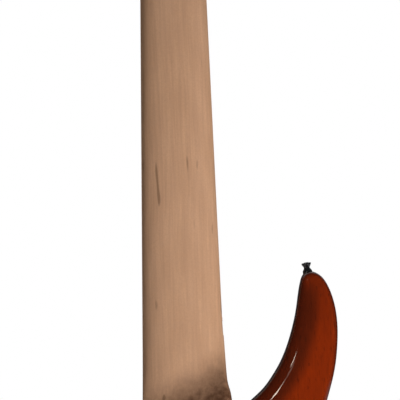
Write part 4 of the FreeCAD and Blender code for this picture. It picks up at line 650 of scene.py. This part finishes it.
# ---- the neck ------------------------------------------------------------------------------------
RAMP = [Vector(p) * MM for p in ((40.0, 5.0, 349.0), (40.0, -19.0, 303.0), (-41.0, -19.0, 262.0))]
RAMP_NORMAL = (RAMP[1] - RAMP[0]).cross(RAMP[2] - RAMP[0]).normalized()


def ramp_y(x, z):
    """The heel's slanting plane."""
    n = RAMP_NORMAL
    return RAMP[0].y - (n.x * (x - RAMP[0].x) + n.z * (z - RAMP[0].z)) / n.y


def neck_depth(z):
    return shape().neck_depth + 0.0051 * (NUT_Z - z)


def heel_back(x, z):
    """How far back the heel's block reaches: its ramp, rounded off onto the body's flat back."""
    return soft_max(ramp_y(x, z), -BODY_HALF, 10 * MM)


def neck_back(x, z, half):
    """The back surface of neck and heel together."""
    n = shape().neck_round
    share = min(abs(x) / half, 1.0)
    bare = GLUE_Y - neck_depth(z) * (1 - share ** n) ** (1 / n)
    if z > 400 * MM:
        return bare
    return soft_min(bare, heel_back(x, z), shape().heel_soft)


def section_angles(count):
    return [math.pi * k / count for k in range(count + 1)]


def neck_rows():
    """Closed rings of points from the tail up to the headstock's tip."""
    lip = Path(LIP_EDGE, 400)
    lip_z = lip.line[:, 1] * MM
    lip_x = lip.line[:, 0] * MM
    rim = shape().rim
    n = shape().neck_round
    back_steps, front_steps, wall_steps = 72, 24, 4
    rows = []

    def ring(z, right, left, front, back_at, wall_front):
        """One ring: back from the +X side round to -X, up the wall, and along the front."""
        back = []
        for a in section_angles(back_steps):
            c = math.cos(a)
            share = math.copysign(abs(c) ** (2 / n), c)
            x = share * (right if share > 0 else left)
            back.append(Vector((x, back_at(x), z)))
        wall_l = [Vector((-left, back[-1].y + (wall_front - back[-1].y) * k / wall_steps, z))
                  for k in range(1, wall_steps + 1)]
        across = [Vector((-left + (left + right) * k / front_steps, front, z))
                  for k in range(front_steps + 1)]
        wall_r = [Vector((right, wall_front + (back[0].y - wall_front) * k / wall_steps, z))
                  for k in range(wall_steps)]
        return back + wall_l + across + wall_r

    # tail end, with its two rims rounded
    for k in range(9):
        a = math.pi / 2 * k / 8
        z, y = rim * (1 - math.cos(a)), BODY_HALF - rim * (1 - math.sin(a))
        rows.append(ring(z, half_width(z), half_width(z), y, lambda x, y=y: -y, y))
    # body, heel and neck
    heights = list(np.linspace(12, 228, 28)) + list(np.linspace(234, 298, 28)) \
        + list(np.linspace(298.01, 400, 76)) + list(np.linspace(404, 952, 120)) + [956.0]
    for z in (h * MM for h in heights):
        half = half_width(z)
        right = half
        if 302.5 * MM < z < 395 * MM:
            right = max(half, float(np.interp(z, lip_z, lip_x)))
        front = BODY_HALF if z < BOARD_LO.z else GLUE_Y

        def back_at(x, z=z, half=half, right=right):
            y = neck_back(min(x, half), z, half) if z > 230 * MM else -BODY_HALF
            if right > half + 0.2 * MM and x > half - 3 * MM:
                reach = right - half + 3 * MM
                over = (x - (half - 3 * MM)) / reach
                y = max(y, heel_back(x, z)) if x > half else y
                y += (1 - math.sqrt(max(1 - over * over, 0.0))) * min(reach * 1.1, 7 * MM)
            return min(y, front)
        rows.append(ring(z, right, half, front, back_at, front))
    return rows + head_rows(back_steps, front_steps, wall_steps)


def on_head(x, y, z):
    """A place given in the headstock's own frame, in metres."""
    c, s = math.cos(HEAD_TILT), math.sin(HEAD_TILT)
    return Vector((x, y * c - z * s + HEAD_FACE_Y, y * s + z * c + HEAD_Z))


def head_rows(back_steps, front_steps, wall_steps):
    """Rings up the tilted headstock, whose section squares up from the neck's D."""
    edge = Path(HEAD_EDGE, 1200)
    line = edge.line * MM
    rows = []
    for share in [0.006 * k for k in range(1, 20)] + list(np.linspace(0.12, 0.80, 60)) \
            + [1 - 0.2 * (1 - math.sin(math.pi / 2 * k / 30)) for k in range(1, 31)]:
        x_edge, v = edge.at(share, line)
        square = smooth_step(v, 0.0, 30 * MM)
        n = shape().neck_round + square * 7.0
        chamfer = 1.2 * MM * min(square * 3, 1.0)
        back = []
        for a in section_angles(back_steps):
            c, s = math.cos(a), math.sin(a)
            x = math.copysign(abs(c) ** (2 / n), c) * x_edge
            back.append(on_head(x, -max(HEAD_THICK * abs(s) ** (2 / n), chamfer), v))
        low = -chamfer
        wall_l = [on_head(-x_edge, low, v)] * wall_steps
        inner = max(x_edge - chamfer, 0.0)
        across = []
        for k in range(front_steps + 1):
            t = 2 * k / front_steps - 1
            fold = smooth_step(abs(t), 0.985, 1.0) if chamfer else 0.0
            across.append(on_head(t * (inner + (x_edge - inner) * fold), -chamfer * fold, v))
        wall_r = [on_head(x_edge, low, v)] * wall_steps
        rows.append(back + wall_l + across + wall_r)
    return rows


def rod(radius, start, end, segments=32):
    """A round bar between two points."""
    bm = bmesh.new()
    start, end = Vector(start), Vector(end)
    bmesh.ops.create_cone(bm, cap_ends=True, segments=segments, radius1=radius, radius2=radius,
                          depth=(end - start).length)
    turn = Vector((0, 0, 1)).rotation_difference(end - start).to_matrix().to_4x4()
    bmesh.ops.transform(bm, matrix=Matrix.Translation((start + end) / 2) @ turn, verts=bm.verts)
    return bm


def pickup_pockets():
    """Cutters for both pickup pockets and the holes that their height screws run in."""
    cutters = []
    for name in ("bridge_pickup", "neck_pickup"):
        lo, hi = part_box(f"{name}_cover")
        play = Vector((POCKET_PLAY, 0, POCKET_PLAY))
        floor, above = Vector((0, POCKET_FLOOR, 0)), Vector((0, CUT_CLEAR, 0))
        cutters.append(block(lo - play - floor, hi + play + above))
        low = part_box(f"{name}_screws")[0].y - 6 * MM
        for x in (-PICKUP_SCREW_X, PICKUP_SCREW_X):
            for z in ((lo.z + hi.z) / 2 + side * PICKUP_SCREW_Z for side in (-1, 1)):
                cutters.append(rod(SCREW_HOLE_R, (x, low, z), (x, lo.y, z)))
    return cutters


def outline_of(name, height, inset):
    """The outer outline of a CAD plate at a height in y, moved in by a distance, as (x, z) points."""
    bm = bmesh.new()
    bm.from_mesh(NODES[name].data)
    bmesh.ops.bisect_plane(bm, geom=bm.verts[:] + bm.edges[:] + bm.faces[:], plane_co=(0, height, 0),
                           plane_no=(0, 1, 0), clear_inner=True, clear_outer=True)
    bmesh.ops.remove_doubles(bm, verts=bm.verts, dist=1e-5)
    start = min((v for v in bm.verts if v.link_edges), key=lambda v: v.co.x)
    loop, last, here = [], None, start
    while here and (here is not start or not loop):
        loop.append((here.co.x, here.co.z))
        ahead = [e.other_vert(here) for e in here.link_edges if e.other_vert(here) is not last]
        last, here = here, ahead[0] if ahead else None
    bm.free()
    ring = np.array(loop)
    step = np.roll(ring, -1, axis=0) - np.roll(ring, 1, axis=0)
    step /= np.linalg.norm(step, axis=1)[:, None]
    area = np.sum(ring[:, 0] * np.roll(ring[:, 1], -1) - np.roll(ring[:, 0], -1) * ring[:, 1])
    inward = np.stack([-step[:, 1], step[:, 0]], axis=1) * math.copysign(1.0, area)
    return ring + inward * inset


def prism(ring, low, high):
    """A straight-sided block with an outline in the XZ plane."""
    bm = bmesh.new()
    face = bm.faces.new([bm.verts.new((x, low, z)) for x, z in ring])
    side = bmesh.ops.extrude_face_region(bm, geom=[face])["geom"]
    bmesh.ops.translate(bm, verts=[v for v in side if isinstance(v, bmesh.types.BMVert)],
                        vec=(0, high - low, 0))
    bmesh.ops.recalc_face_normals(bm, faces=bm.faces)
    return bm


# ---- the wings -----------------------------------------------------------------------------------
def wing_rings(edge, top_z, side, stations, rims, arms=34):
    """Rings of points across a wing, from the tail up to its horn's tip.

    stations pair a place on the inner side with one on the outer edge; rims gives, for a place on
    the free edge, the width and depth of its back rounding and the radius of its front one."""
    hw = half_width(top_z * MM) / MM
    free = Path([(hw, top_z), *edge, (TAIL_HALF / MM, 0.0)])
    steps, walls = 10, 4
    rows = []

    def face(share, back):
        """Points from the edge's wall in to the flat, back or front, in millimetres."""
        p, n = free.at(share), free.normal(share)
        width, depth, front = rims(*p)
        w, d = (width, depth) if back else (front, front)
        out = []
        for k in range(steps + 1):
            a = math.pi / 2 * k / steps
            at = p + n * w * (1 - math.cos(a))
            out.append((at[0], BODY_HALF / MM - d * (1 - math.sin(a)), at[1]))
        return out

    def glue(z):
        x = half_width(z * MM) / MM
        h = BODY_HALF / MM
        low = h - 6.0
        return [(x, low + 6.0 * k / steps, z) for k in range(steps + 1)]

    def flip(points):
        return [(x, -y, z) for x, y, z in points]

    def between(a, b, count):
        return [tuple(p + (q - p) * k / (count + 1) for p, q in zip(a, b)) for k in range(1, count + 1)]

    def ring(inner_back, inner_front, outer_back, outer_front):
        loop = flip(inner_back) + between(flip(inner_back)[-1], flip(outer_back)[-1], arms)
        loop += flip(outer_back)[::-1] + between(flip(outer_back)[0], outer_front[0], walls)
        loop += outer_front + between(outer_front[-1], inner_front[-1], arms)
        loop += inner_front[::-1] + between(inner_front[0], flip(inner_back)[0], walls)
        return [Vector((side * x, y, z)) * MM for x, y, z in loop]

    for first, last, count in stations:
        for k in range(count + 1):
            t = k / count
            outer = free.near(*first[1]) * (1 - t) + free.near(*last[1]) * t
            sides = [face(outer, True), face(outer, False)]
            if isinstance(first[0], (int, float)):
                z = first[0] + (last[0] - first[0]) * t
                inner = [glue(z), glue(z)]
            else:
                inner_share = free.near(*first[0]) * (1 - t) + free.near(*last[0]) * t
                inner = [face(inner_share, True), face(inner_share, False)]
            rows.append(ring(*inner, *sides))
    return rows, free


def upper_rims(x, z):
    """Width and depth of the back rounding, and front radius, along the long-horn wing's free edge."""
    s = shape()
    rim = s.rim / MM
    tip = smooth_step(z, 398, 434)
    inner_side = z > 300 and x < 118.5 and x < 60 + (z - 300) * 0.62 + 6
    carved = smooth_step(x, 50, 66) * (1 - tip) if inner_side else 0.0
    width = rim + (s.contour_width / MM - rim) * carved
    depth = rim + (s.contour_depth / MM - rim) * carved
    return width, depth, rim


def lower_rims(x, z):
    rim = shape().rim / MM
    return rim, rim, rim


def stations(start, *stops):
    """Pairs of neighbouring stations, with the number of rings laid between them."""
    pairs = []
    for inner, outer, count in stops:
        pairs.append((start, (inner, outer), count))
        start = (inner, outer)
    return pairs


# inner place (a height on the glue line, or a point on the horn's inner edge), outer point, rings
TAIL_CORNER = (TAIL_HALF / MM, 0.0)
UPPER_STATIONS = [
    *stations((6.0, TAIL_CORNER),
              (18.0, (120.0, 13.0), 16), (44.0, (150.0, 42.0), 14), (140.0, (140.0, 139.0), 24),
              (208.0, (119.5, 208.0), 16), (304.5, (133.5, 302.0), 24)),
    *stations(((40.64, 310.5), (133.5, 302.0)),
              ((52.6, 308.8), (136.0, 311.0), 12), ((66.0, 316.5), (140.5, 326.0), 12),
              ((85.9, 338.4), (145.3, 345.0), 20), ((100.7, 367.1), (148.6, 371.0), 20),
              ((110.4, 401.7), (147.6, 402.5), 20), ((115.1, 428.0), (139.8, 427.0), 20),
              ((118.6, 435.8), (129.0, 437.6), 16), ((123.2, 438.0), (123.2, 438.0), 12)),
]
LOWER_STATIONS = [
    *stations((6.0, TAIL_CORNER),
              (18.0, (118.0, 13.0), 16), (44.0, (147.0, 42.0), 14), (130.0, (141.0, 130.0), 22),
              (190.0, (121.8, 195.0), 14), (240.0, (126.2, 238.0), 14)),
    *stations(((42.0, 246.0), (126.2, 238.0)),
              ((57.5, 246.6), (127.0, 250.0), 12), ((77.0, 276.0), (124.0, 275.0), 18),
              ((89.5, 299.0), (113.0, 299.0), 18), ((98.0, 305.9), (98.0, 305.9), 16)),
]


def burst_and_painted_shade_at(free, tip):
    """How dark the body is painted at a place. Painted shade lies broad on the horn's inner slope, which
    faces away from the key light, and darkens the horn towards its tip. A thin dark band round the rest is
    partly a real edge burst and partly painted shade.
    """
    inner_end = int(free.near(*tip) * free.count)
    slope = shape().contour_width
    tip_z = free.line[:, 1].max() * MM
    trees = []
    for line in (free.line[:inner_end], free.line[inner_end:]):
        tree = KDTree(len(line))
        for k, (x, z) in enumerate(line):
            tree.insert((abs(x) * MM, 0.0, z * MM), k)
        tree.balance()
        trees.append(tree)

    def value(co):
        inner, outer = (tree.find((abs(co.x), 0.0, co.z))[2] for tree in trees)
        # Painted shade: the horn's inner slope faces away from the key light and is painted darker, fading
        # near the outer edge.
        carved = 0.72 * (1 - smooth_step(inner, slope * 0.7, slope * 1.35)) \
            * (0.35 + 0.65 * smooth_step(outer, 0.0, 22 * MM))
        # Painted shade that darkens the horn towards its tip, where the light falls off.
        painted_tip_shade = 0.3 * smooth_step(co.z, tip_z - 80 * MM, tip_z)
        # The thin dark band along the free edge is partly a real edge burst and partly painted shade on the
        # rounded rim.
        return max(carved, 0.7 * (1 - smooth_step(outer, 0.0, 5 * MM)), painted_tip_shade)
    return value


# ---- operators -----------------------------------------------------------------------------------
class BASS_OT_neck(bpy.types.Operator):
    """Carve the through neck with its heel, body centre and headstock"""
    bl_idname = "bass.neck"
    bl_label = "Neck and Headstock"

    def execute(self, context):
        bm = sheet_from(neck_rows())
        close_ends(bm)
        piece = finish_piece("through_neck", bm, "neck_maple", stands_for="neck_core")
        cut_away(piece, pickup_pockets())

        def stain(co):
            ramp = ramp_y(co.x, co.z) - GLUE_Y
            deep = 1 - smooth_step(ramp, -34 * MM, -4 * MM)
            low = 0.3 * (1 - smooth_step(co.z, 316 * MM, 334 * MM))
            if co.z > 420 * MM:
                return 0.0
            inside = smooth_step(co.z, 262 * MM, 302 * MM)
            return max(deep, low) * (0.35 + 0.65 * inside) if co.y < 0 or co.z > BOARD_LO.z else 0.12
        shade(piece, "stain", stain)
        return {"FINISHED"}


class BASS_OT_upper_wing(bpy.types.Operator):
    """Carve the wing with the long horn"""
    bl_idname = "bass.upper_wing"
    bl_label = "Long-Horn Wing"

    def execute(self, context):
        rows, free = wing_rings(UPPER_EDGE, UPPER_TOP_Z, 1, UPPER_STATIONS, upper_rims)
        bm = sheet_from(rows)
        close_ends(bm)
        piece = finish_piece("long_horn_wing", bm, "body_mahogany", stands_for="upper_wing")
        lo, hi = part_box("battery_box")
        play = Vector((0.2, 0, 0.2)) * MM
        bay = block(lo - play - Vector((0, 2 * MM, 0)),
                    Vector((hi.x, lo.y + 1.8 * MM, hi.z)) + play)
        inner = Vector((3.8, 0, 3.8)) * MM
        room = block(lo + inner, Vector((hi.x, hi.y + 0.3 * MM, hi.z)) - inner)
        cut_away(piece, pickup_pockets() + [bay, room])
        # Stores the painted shade on the carved slope, rims and tip, together with a real edge burst.
        shade(piece, "edge_burst_and_painted_shade", burst_and_painted_shade_at(free, (123.2, 438.0)))
        return {"FINISHED"}


class BASS_OT_lower_wing(bpy.types.Operator):
    """Carve the wing with the short horn"""
    bl_idname = "bass.lower_wing"
    bl_label = "Short-Horn Wing"

    def execute(self, context):
        rows, free = wing_rings(LOWER_EDGE, LOWER_TOP_Z, -1, LOWER_STATIONS, lower_rims)
        bm = sheet_from(rows)
        close_ends(bm)
        piece = finish_piece("short_horn_wing", bm, "body_mahogany", stands_for="lower_wing")
        lo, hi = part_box("control_cover")
        middle = (lo.y + hi.y) / 2
        ledge = prism(outline_of("control_cover", middle, -COVER_PLAY), -BODY_HALF - 4 * MM,
                      hi.y + 0.05 * MM)
        room = prism(outline_of("control_cover", middle, COVER_LEDGE), hi.y,
                     BODY_HALF - FRONT_SKIN)
        jack = next(m for m in frame["record"]["mounts"] if m["name"] == "output_jack")
        flange = Vector((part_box("output_jack")[0].x, 0, jack["pos_m"][2]))
        face = Vector((JACK_FLANGE, 0, 0))
        spot = rod(JACK_SPOT_R, flange + face, flange - Vector((CUT_CLEAR, 0, 0)), 48)
        cut_away(piece, pickup_pockets() + [ledge, room, spot])
        # Stores the painted shade on the cutaway's slope, rims and tip, together with a real edge burst.
        shade(piece, "edge_burst_and_painted_shade", burst_and_painted_shade_at(free, (98.0, 305.9)))
        return {"FINISHED"}


class BASS_OT_fingerboard(bpy.types.Operator):
    """Finish the fingerboard, frets, dots, nut and truss rod"""
    bl_idname = "bass.fingerboard"
    bl_label = "Fingerboard"

    def execute(self, context):
        dress("fingerboard", "frets", "position_dots", "string_nut", *nodes_like("truss"))
        return {"FINISHED"}


class BASS_OT_tuners(bpy.types.Operator):
    """Finish the six tuning machines"""
    bl_idname = "bass.tuners"
    bl_label = "Tuning Machines"

    def execute(self, context):
        dress(*nodes_like("tuner"))
        return {"FINISHED"}


class BASS_OT_strings(bpy.types.Operator):
    """Finish the strings"""
    bl_idname = "bass.strings"
    bl_label = "Strings"

    def execute(self, context):
        dress("strings")
        return {"FINISHED"}


class BASS_OT_bridge(bpy.types.Operator):
    """Finish the bridge rails and saddles"""
    bl_idname = "bass.bridge"
    bl_label = "Bridge"

    def execute(self, context):
        dress("bridge_rails", "bridge_screws", "intonation_screws", *nodes_like("saddle"))
        return {"FINISHED"}


class BASS_OT_pickups(bpy.types.Operator):
    """Finish both pickups"""
    bl_idname = "bass.pickups"
    bl_label = "Pickups"

    def execute(self, context):
        dress(*nodes_like("bridge_pickup", "neck_pickup"))
        return {"FINISHED"}


class BASS_OT_controls(bpy.types.Operator):
    """Finish the knobs, switch, socket, cover and what is behind it"""
    bl_idname = "bass.controls"
    bl_label = "Controls"

    def execute(self, context):
        dress("pots", "pot_nuts", "output_jack", "preamp_board", "wiring",
              *nodes_like("volume", "blend", "bass", "treble", "switch", "control"))
        return {"FINISHED"}


class BASS_OT_battery(bpy.types.Operator):
    """Finish the battery bay"""
    bl_idname = "bass.battery"
    bl_label = "Battery Bay"

    def execute(self, context):
        dress("battery", "battery_box", "battery_lid")
        return {"FINISHED"}


BUTTON_PROFILE = [(0.0, -0.9), (4.3, -0.9), (4.6, -0.7), (4.7, 0.3), (4.45, 2.0), (3.9, 3.0), (3.2, 3.9),
                  (2.85, 4.6), (2.85, 5.2), (3.2, 6.0), (4.0, 7.2), (4.45, 8.2), (4.6, 8.9), (4.45, 9.4),
                  (4.1, 9.6), (3.3, 9.55), (3.0, 9.2), (0.0, 9.2)]


class BASS_OT_strap_buttons(bpy.types.Operator):
    """Turn the two strap buttons and finish their screws"""
    bl_idname = "bass.strap_buttons"
    bl_label = "Strap Buttons"

    def execute(self, context):
        dress("strap_screws")
        mounts = {m["name"]: m for m in frame["record"]["mounts"]}
        parts = []
        for name in ("strap_button_horn", "strap_button_tail"):
            mount = mounts[name]
            parts.append(turned(BUTTON_PROFILE, Vector(mount["pos_m"]), mount["axis"], 64))
        finish_piece("strap_buttons_turned", join(parts), "hardware_black", stands_for="strap_buttons")
        return {"FINISHED"}


def area_light(name, direction, distance, target, power, width, height, colour=(1, 1, 1)):
    """A soft box that looks at the target from a direction given as azimuth and elevation."""
    azimuth, elevation = (math.radians(a) for a in direction)
    away = Vector((math.sin(azimuth) * math.cos(elevation), -math.cos(azimuth) * math.cos(elevation),
                   math.sin(elevation)))
    data = bpy.data.lights.new(name, "AREA")
    data.shape, data.size, data.size_y, data.energy, data.color = "RECTANGLE", width, height, power, colour
    lamp = bpy.data.objects.new(name, data)
    bpy.context.scene.collection.objects.link(lamp)
    lamp.location = Vector(target) + away * distance
    lamp.rotation_euler = (-away).to_track_quat("-Z", "Y").to_euler()
    return lamp


class BASS_OT_stage(bpy.types.Operator):
    """Set up the floor, the lights, the surroundings and the camera"""
    bl_idname = "bass.stage"
    bl_label = "Studio"

    def execute(self, context):
        scene = context.scene
        look = scene.bass_stage
        bm = bmesh.new()
        bmesh.ops.create_circle(bm, cap_ends=True, segments=96, radius=1.2)
        bmesh.ops.translate(bm, verts=bm.verts, vec=(0, 0, CAD_BOX[0].z - 0.0005))
        mesh = bpy.data.meshes.new("studio_floor")
        bm.to_mesh(mesh)
        bm.free()
        floor = bpy.data.objects.new("studio_floor", mesh)
        scene.collection.objects.link(floor)
        paper = bpy.data.materials.new("pale_paper")
        paper.use_nodes = True
        g = Graph(paper.node_tree)
        shader = paper.node_tree.nodes["Principled BSDF"]
        shader.inputs["Roughness"].default_value = 0.9
        mottle = g.noise(g.add("ShaderNodeTexCoord").outputs["Object"], 9.0, 2.0)
        g.put(shader, "Base Color", g.mix(mottle, (0.80, 0.80, 0.80), (0.84, 0.84, 0.83)))
        mesh.materials.append(paper)

        target = (0.03, 0.0, 0.45)
        horn = (0.095, -0.018, 0.332)
        key = area_light("key_softbox", (34, -8), 0.95, (0.04, 0.0, 0.40), look.key, 0.5, 0.6)
        key.visible_glossy = False
        warm = (1.0, 0.86, 0.72)
        # three small boxes, one above the other, that draw the long highlight along the horn
        area_light("streak_softbox", (-19.7, 12.3), 3.0, horn, look.streak, 0.18, 0.19, warm)
        area_light("streak_tail", (-21.5, 8.9), 3.0, horn, look.streak * 0.08, 0.18, 0.157, warm)
        area_light("tip_glint", (-27.5, 7.6), 3.0, (0.125, -0.018, 0.428), look.streak * 0.3,
                   0.12, 0.12, warm)
        for name, direction in (("string_side_softbox", (150, 26)), ("treble_side_softbox", (-150, 8))):
            area_light(name, direction, 2.4, target, look.fill, 1.0, 1.2).visible_glossy = False

        world = bpy.data.worlds.new("white_studio")
        world.use_nodes = True
        g = Graph(world.node_tree)
        background = world.node_tree.nodes["Background"]
        rays = g.add("ShaderNodeLightPath").outputs
        towards = g.add("ShaderNodeSeparateXYZ", None,
                        Vector=g.add("ShaderNodeTexCoord").outputs["Generated"])
        behind = g.band(towards.outputs["Y"], 0.3, 0.7)
        high = g.band(towards.outputs["Z"], 0.22, 0.5, 0.0, 0.8)
        mirrored = g.math("MAXIMUM", g.math("MULTIPLY", high, behind), 0.03)
        lit = g.add("ShaderNodeMix", {"data_type": "FLOAT"}, Factor=rays["Is Glossy Ray"],
                    i2=look.ambient, i3=mirrored).outputs[0]
        g.put(background, "Strength", g.math("MAXIMUM", lit, rays["Is Camera Ray"]))
        background.inputs["Color"].default_value = (1, 1, 1, 1)
        scene.world = world
        scene.view_settings.view_transform = "Standard"

        data = bpy.data.cameras.new("camera")
        data.sensor_width = SENSOR_MM
        data.lens = SENSOR_MM * look.distance / look.field
        camera = bpy.data.objects.new("camera", data)
        scene.collection.objects.link(camera)
        s, c = math.sin(look.roll), math.cos(look.roll)
        camera.matrix_world = Matrix(((c, s, 0, VIEW_X), (0, 0, -1, -look.distance),
                                      (-s, c, 0, VIEW_Z), (0, 0, 0, 1)))
        scene.camera = camera
        return {"FINISHED"}


class BASS_PT_panel(bpy.types.Panel):
    """The bass's settings and its pieces"""
    bl_idname = "BASS_PT_panel"
    bl_label = "Bass"
    bl_space_type = "VIEW_3D"
    bl_region_type = "UI"
    bl_category = "Bass"

    def draw(self, context):
        layout, scene = self.layout, context.scene
        for settings in (scene.bass_shape, scene.bass_finish, scene.bass_stage):
            box = layout.box()
            for name in settings.__annotations__:
                box.prop(settings, name)
        for operator in OPERATORS:
            layout.operator(operator.bl_idname)


OPERATORS = (BASS_OT_neck, BASS_OT_upper_wing, BASS_OT_lower_wing, BASS_OT_fingerboard, BASS_OT_tuners,
             BASS_OT_strings, BASS_OT_bridge, BASS_OT_pickups, BASS_OT_controls, BASS_OT_battery,
             BASS_OT_strap_buttons, BASS_OT_stage)
CLASSES = (BassShape, BassFinish, BassStage, *OPERATORS, BASS_PT_panel)


def register():
    for cls in CLASSES:
        bpy.utils.register_class(cls)
    bpy.types.Scene.bass_shape = bpy.props.PointerProperty(type=BassShape)
    bpy.types.Scene.bass_finish = bpy.props.PointerProperty(type=BassFinish)
    bpy.types.Scene.bass_stage = bpy.props.PointerProperty(type=BassStage)


def unregister():
    del bpy.types.Scene.bass_shape, bpy.types.Scene.bass_finish, bpy.types.Scene.bass_stage
    for cls in reversed(CLASSES):
        bpy.utils.unregister_class(cls)


def main():
    register()
    for operator in OPERATORS:
        group_name, name = operator.bl_idname.split(".")
        getattr(getattr(bpy.ops, group_name), name)()


if __name__ == "__main__":
    main()
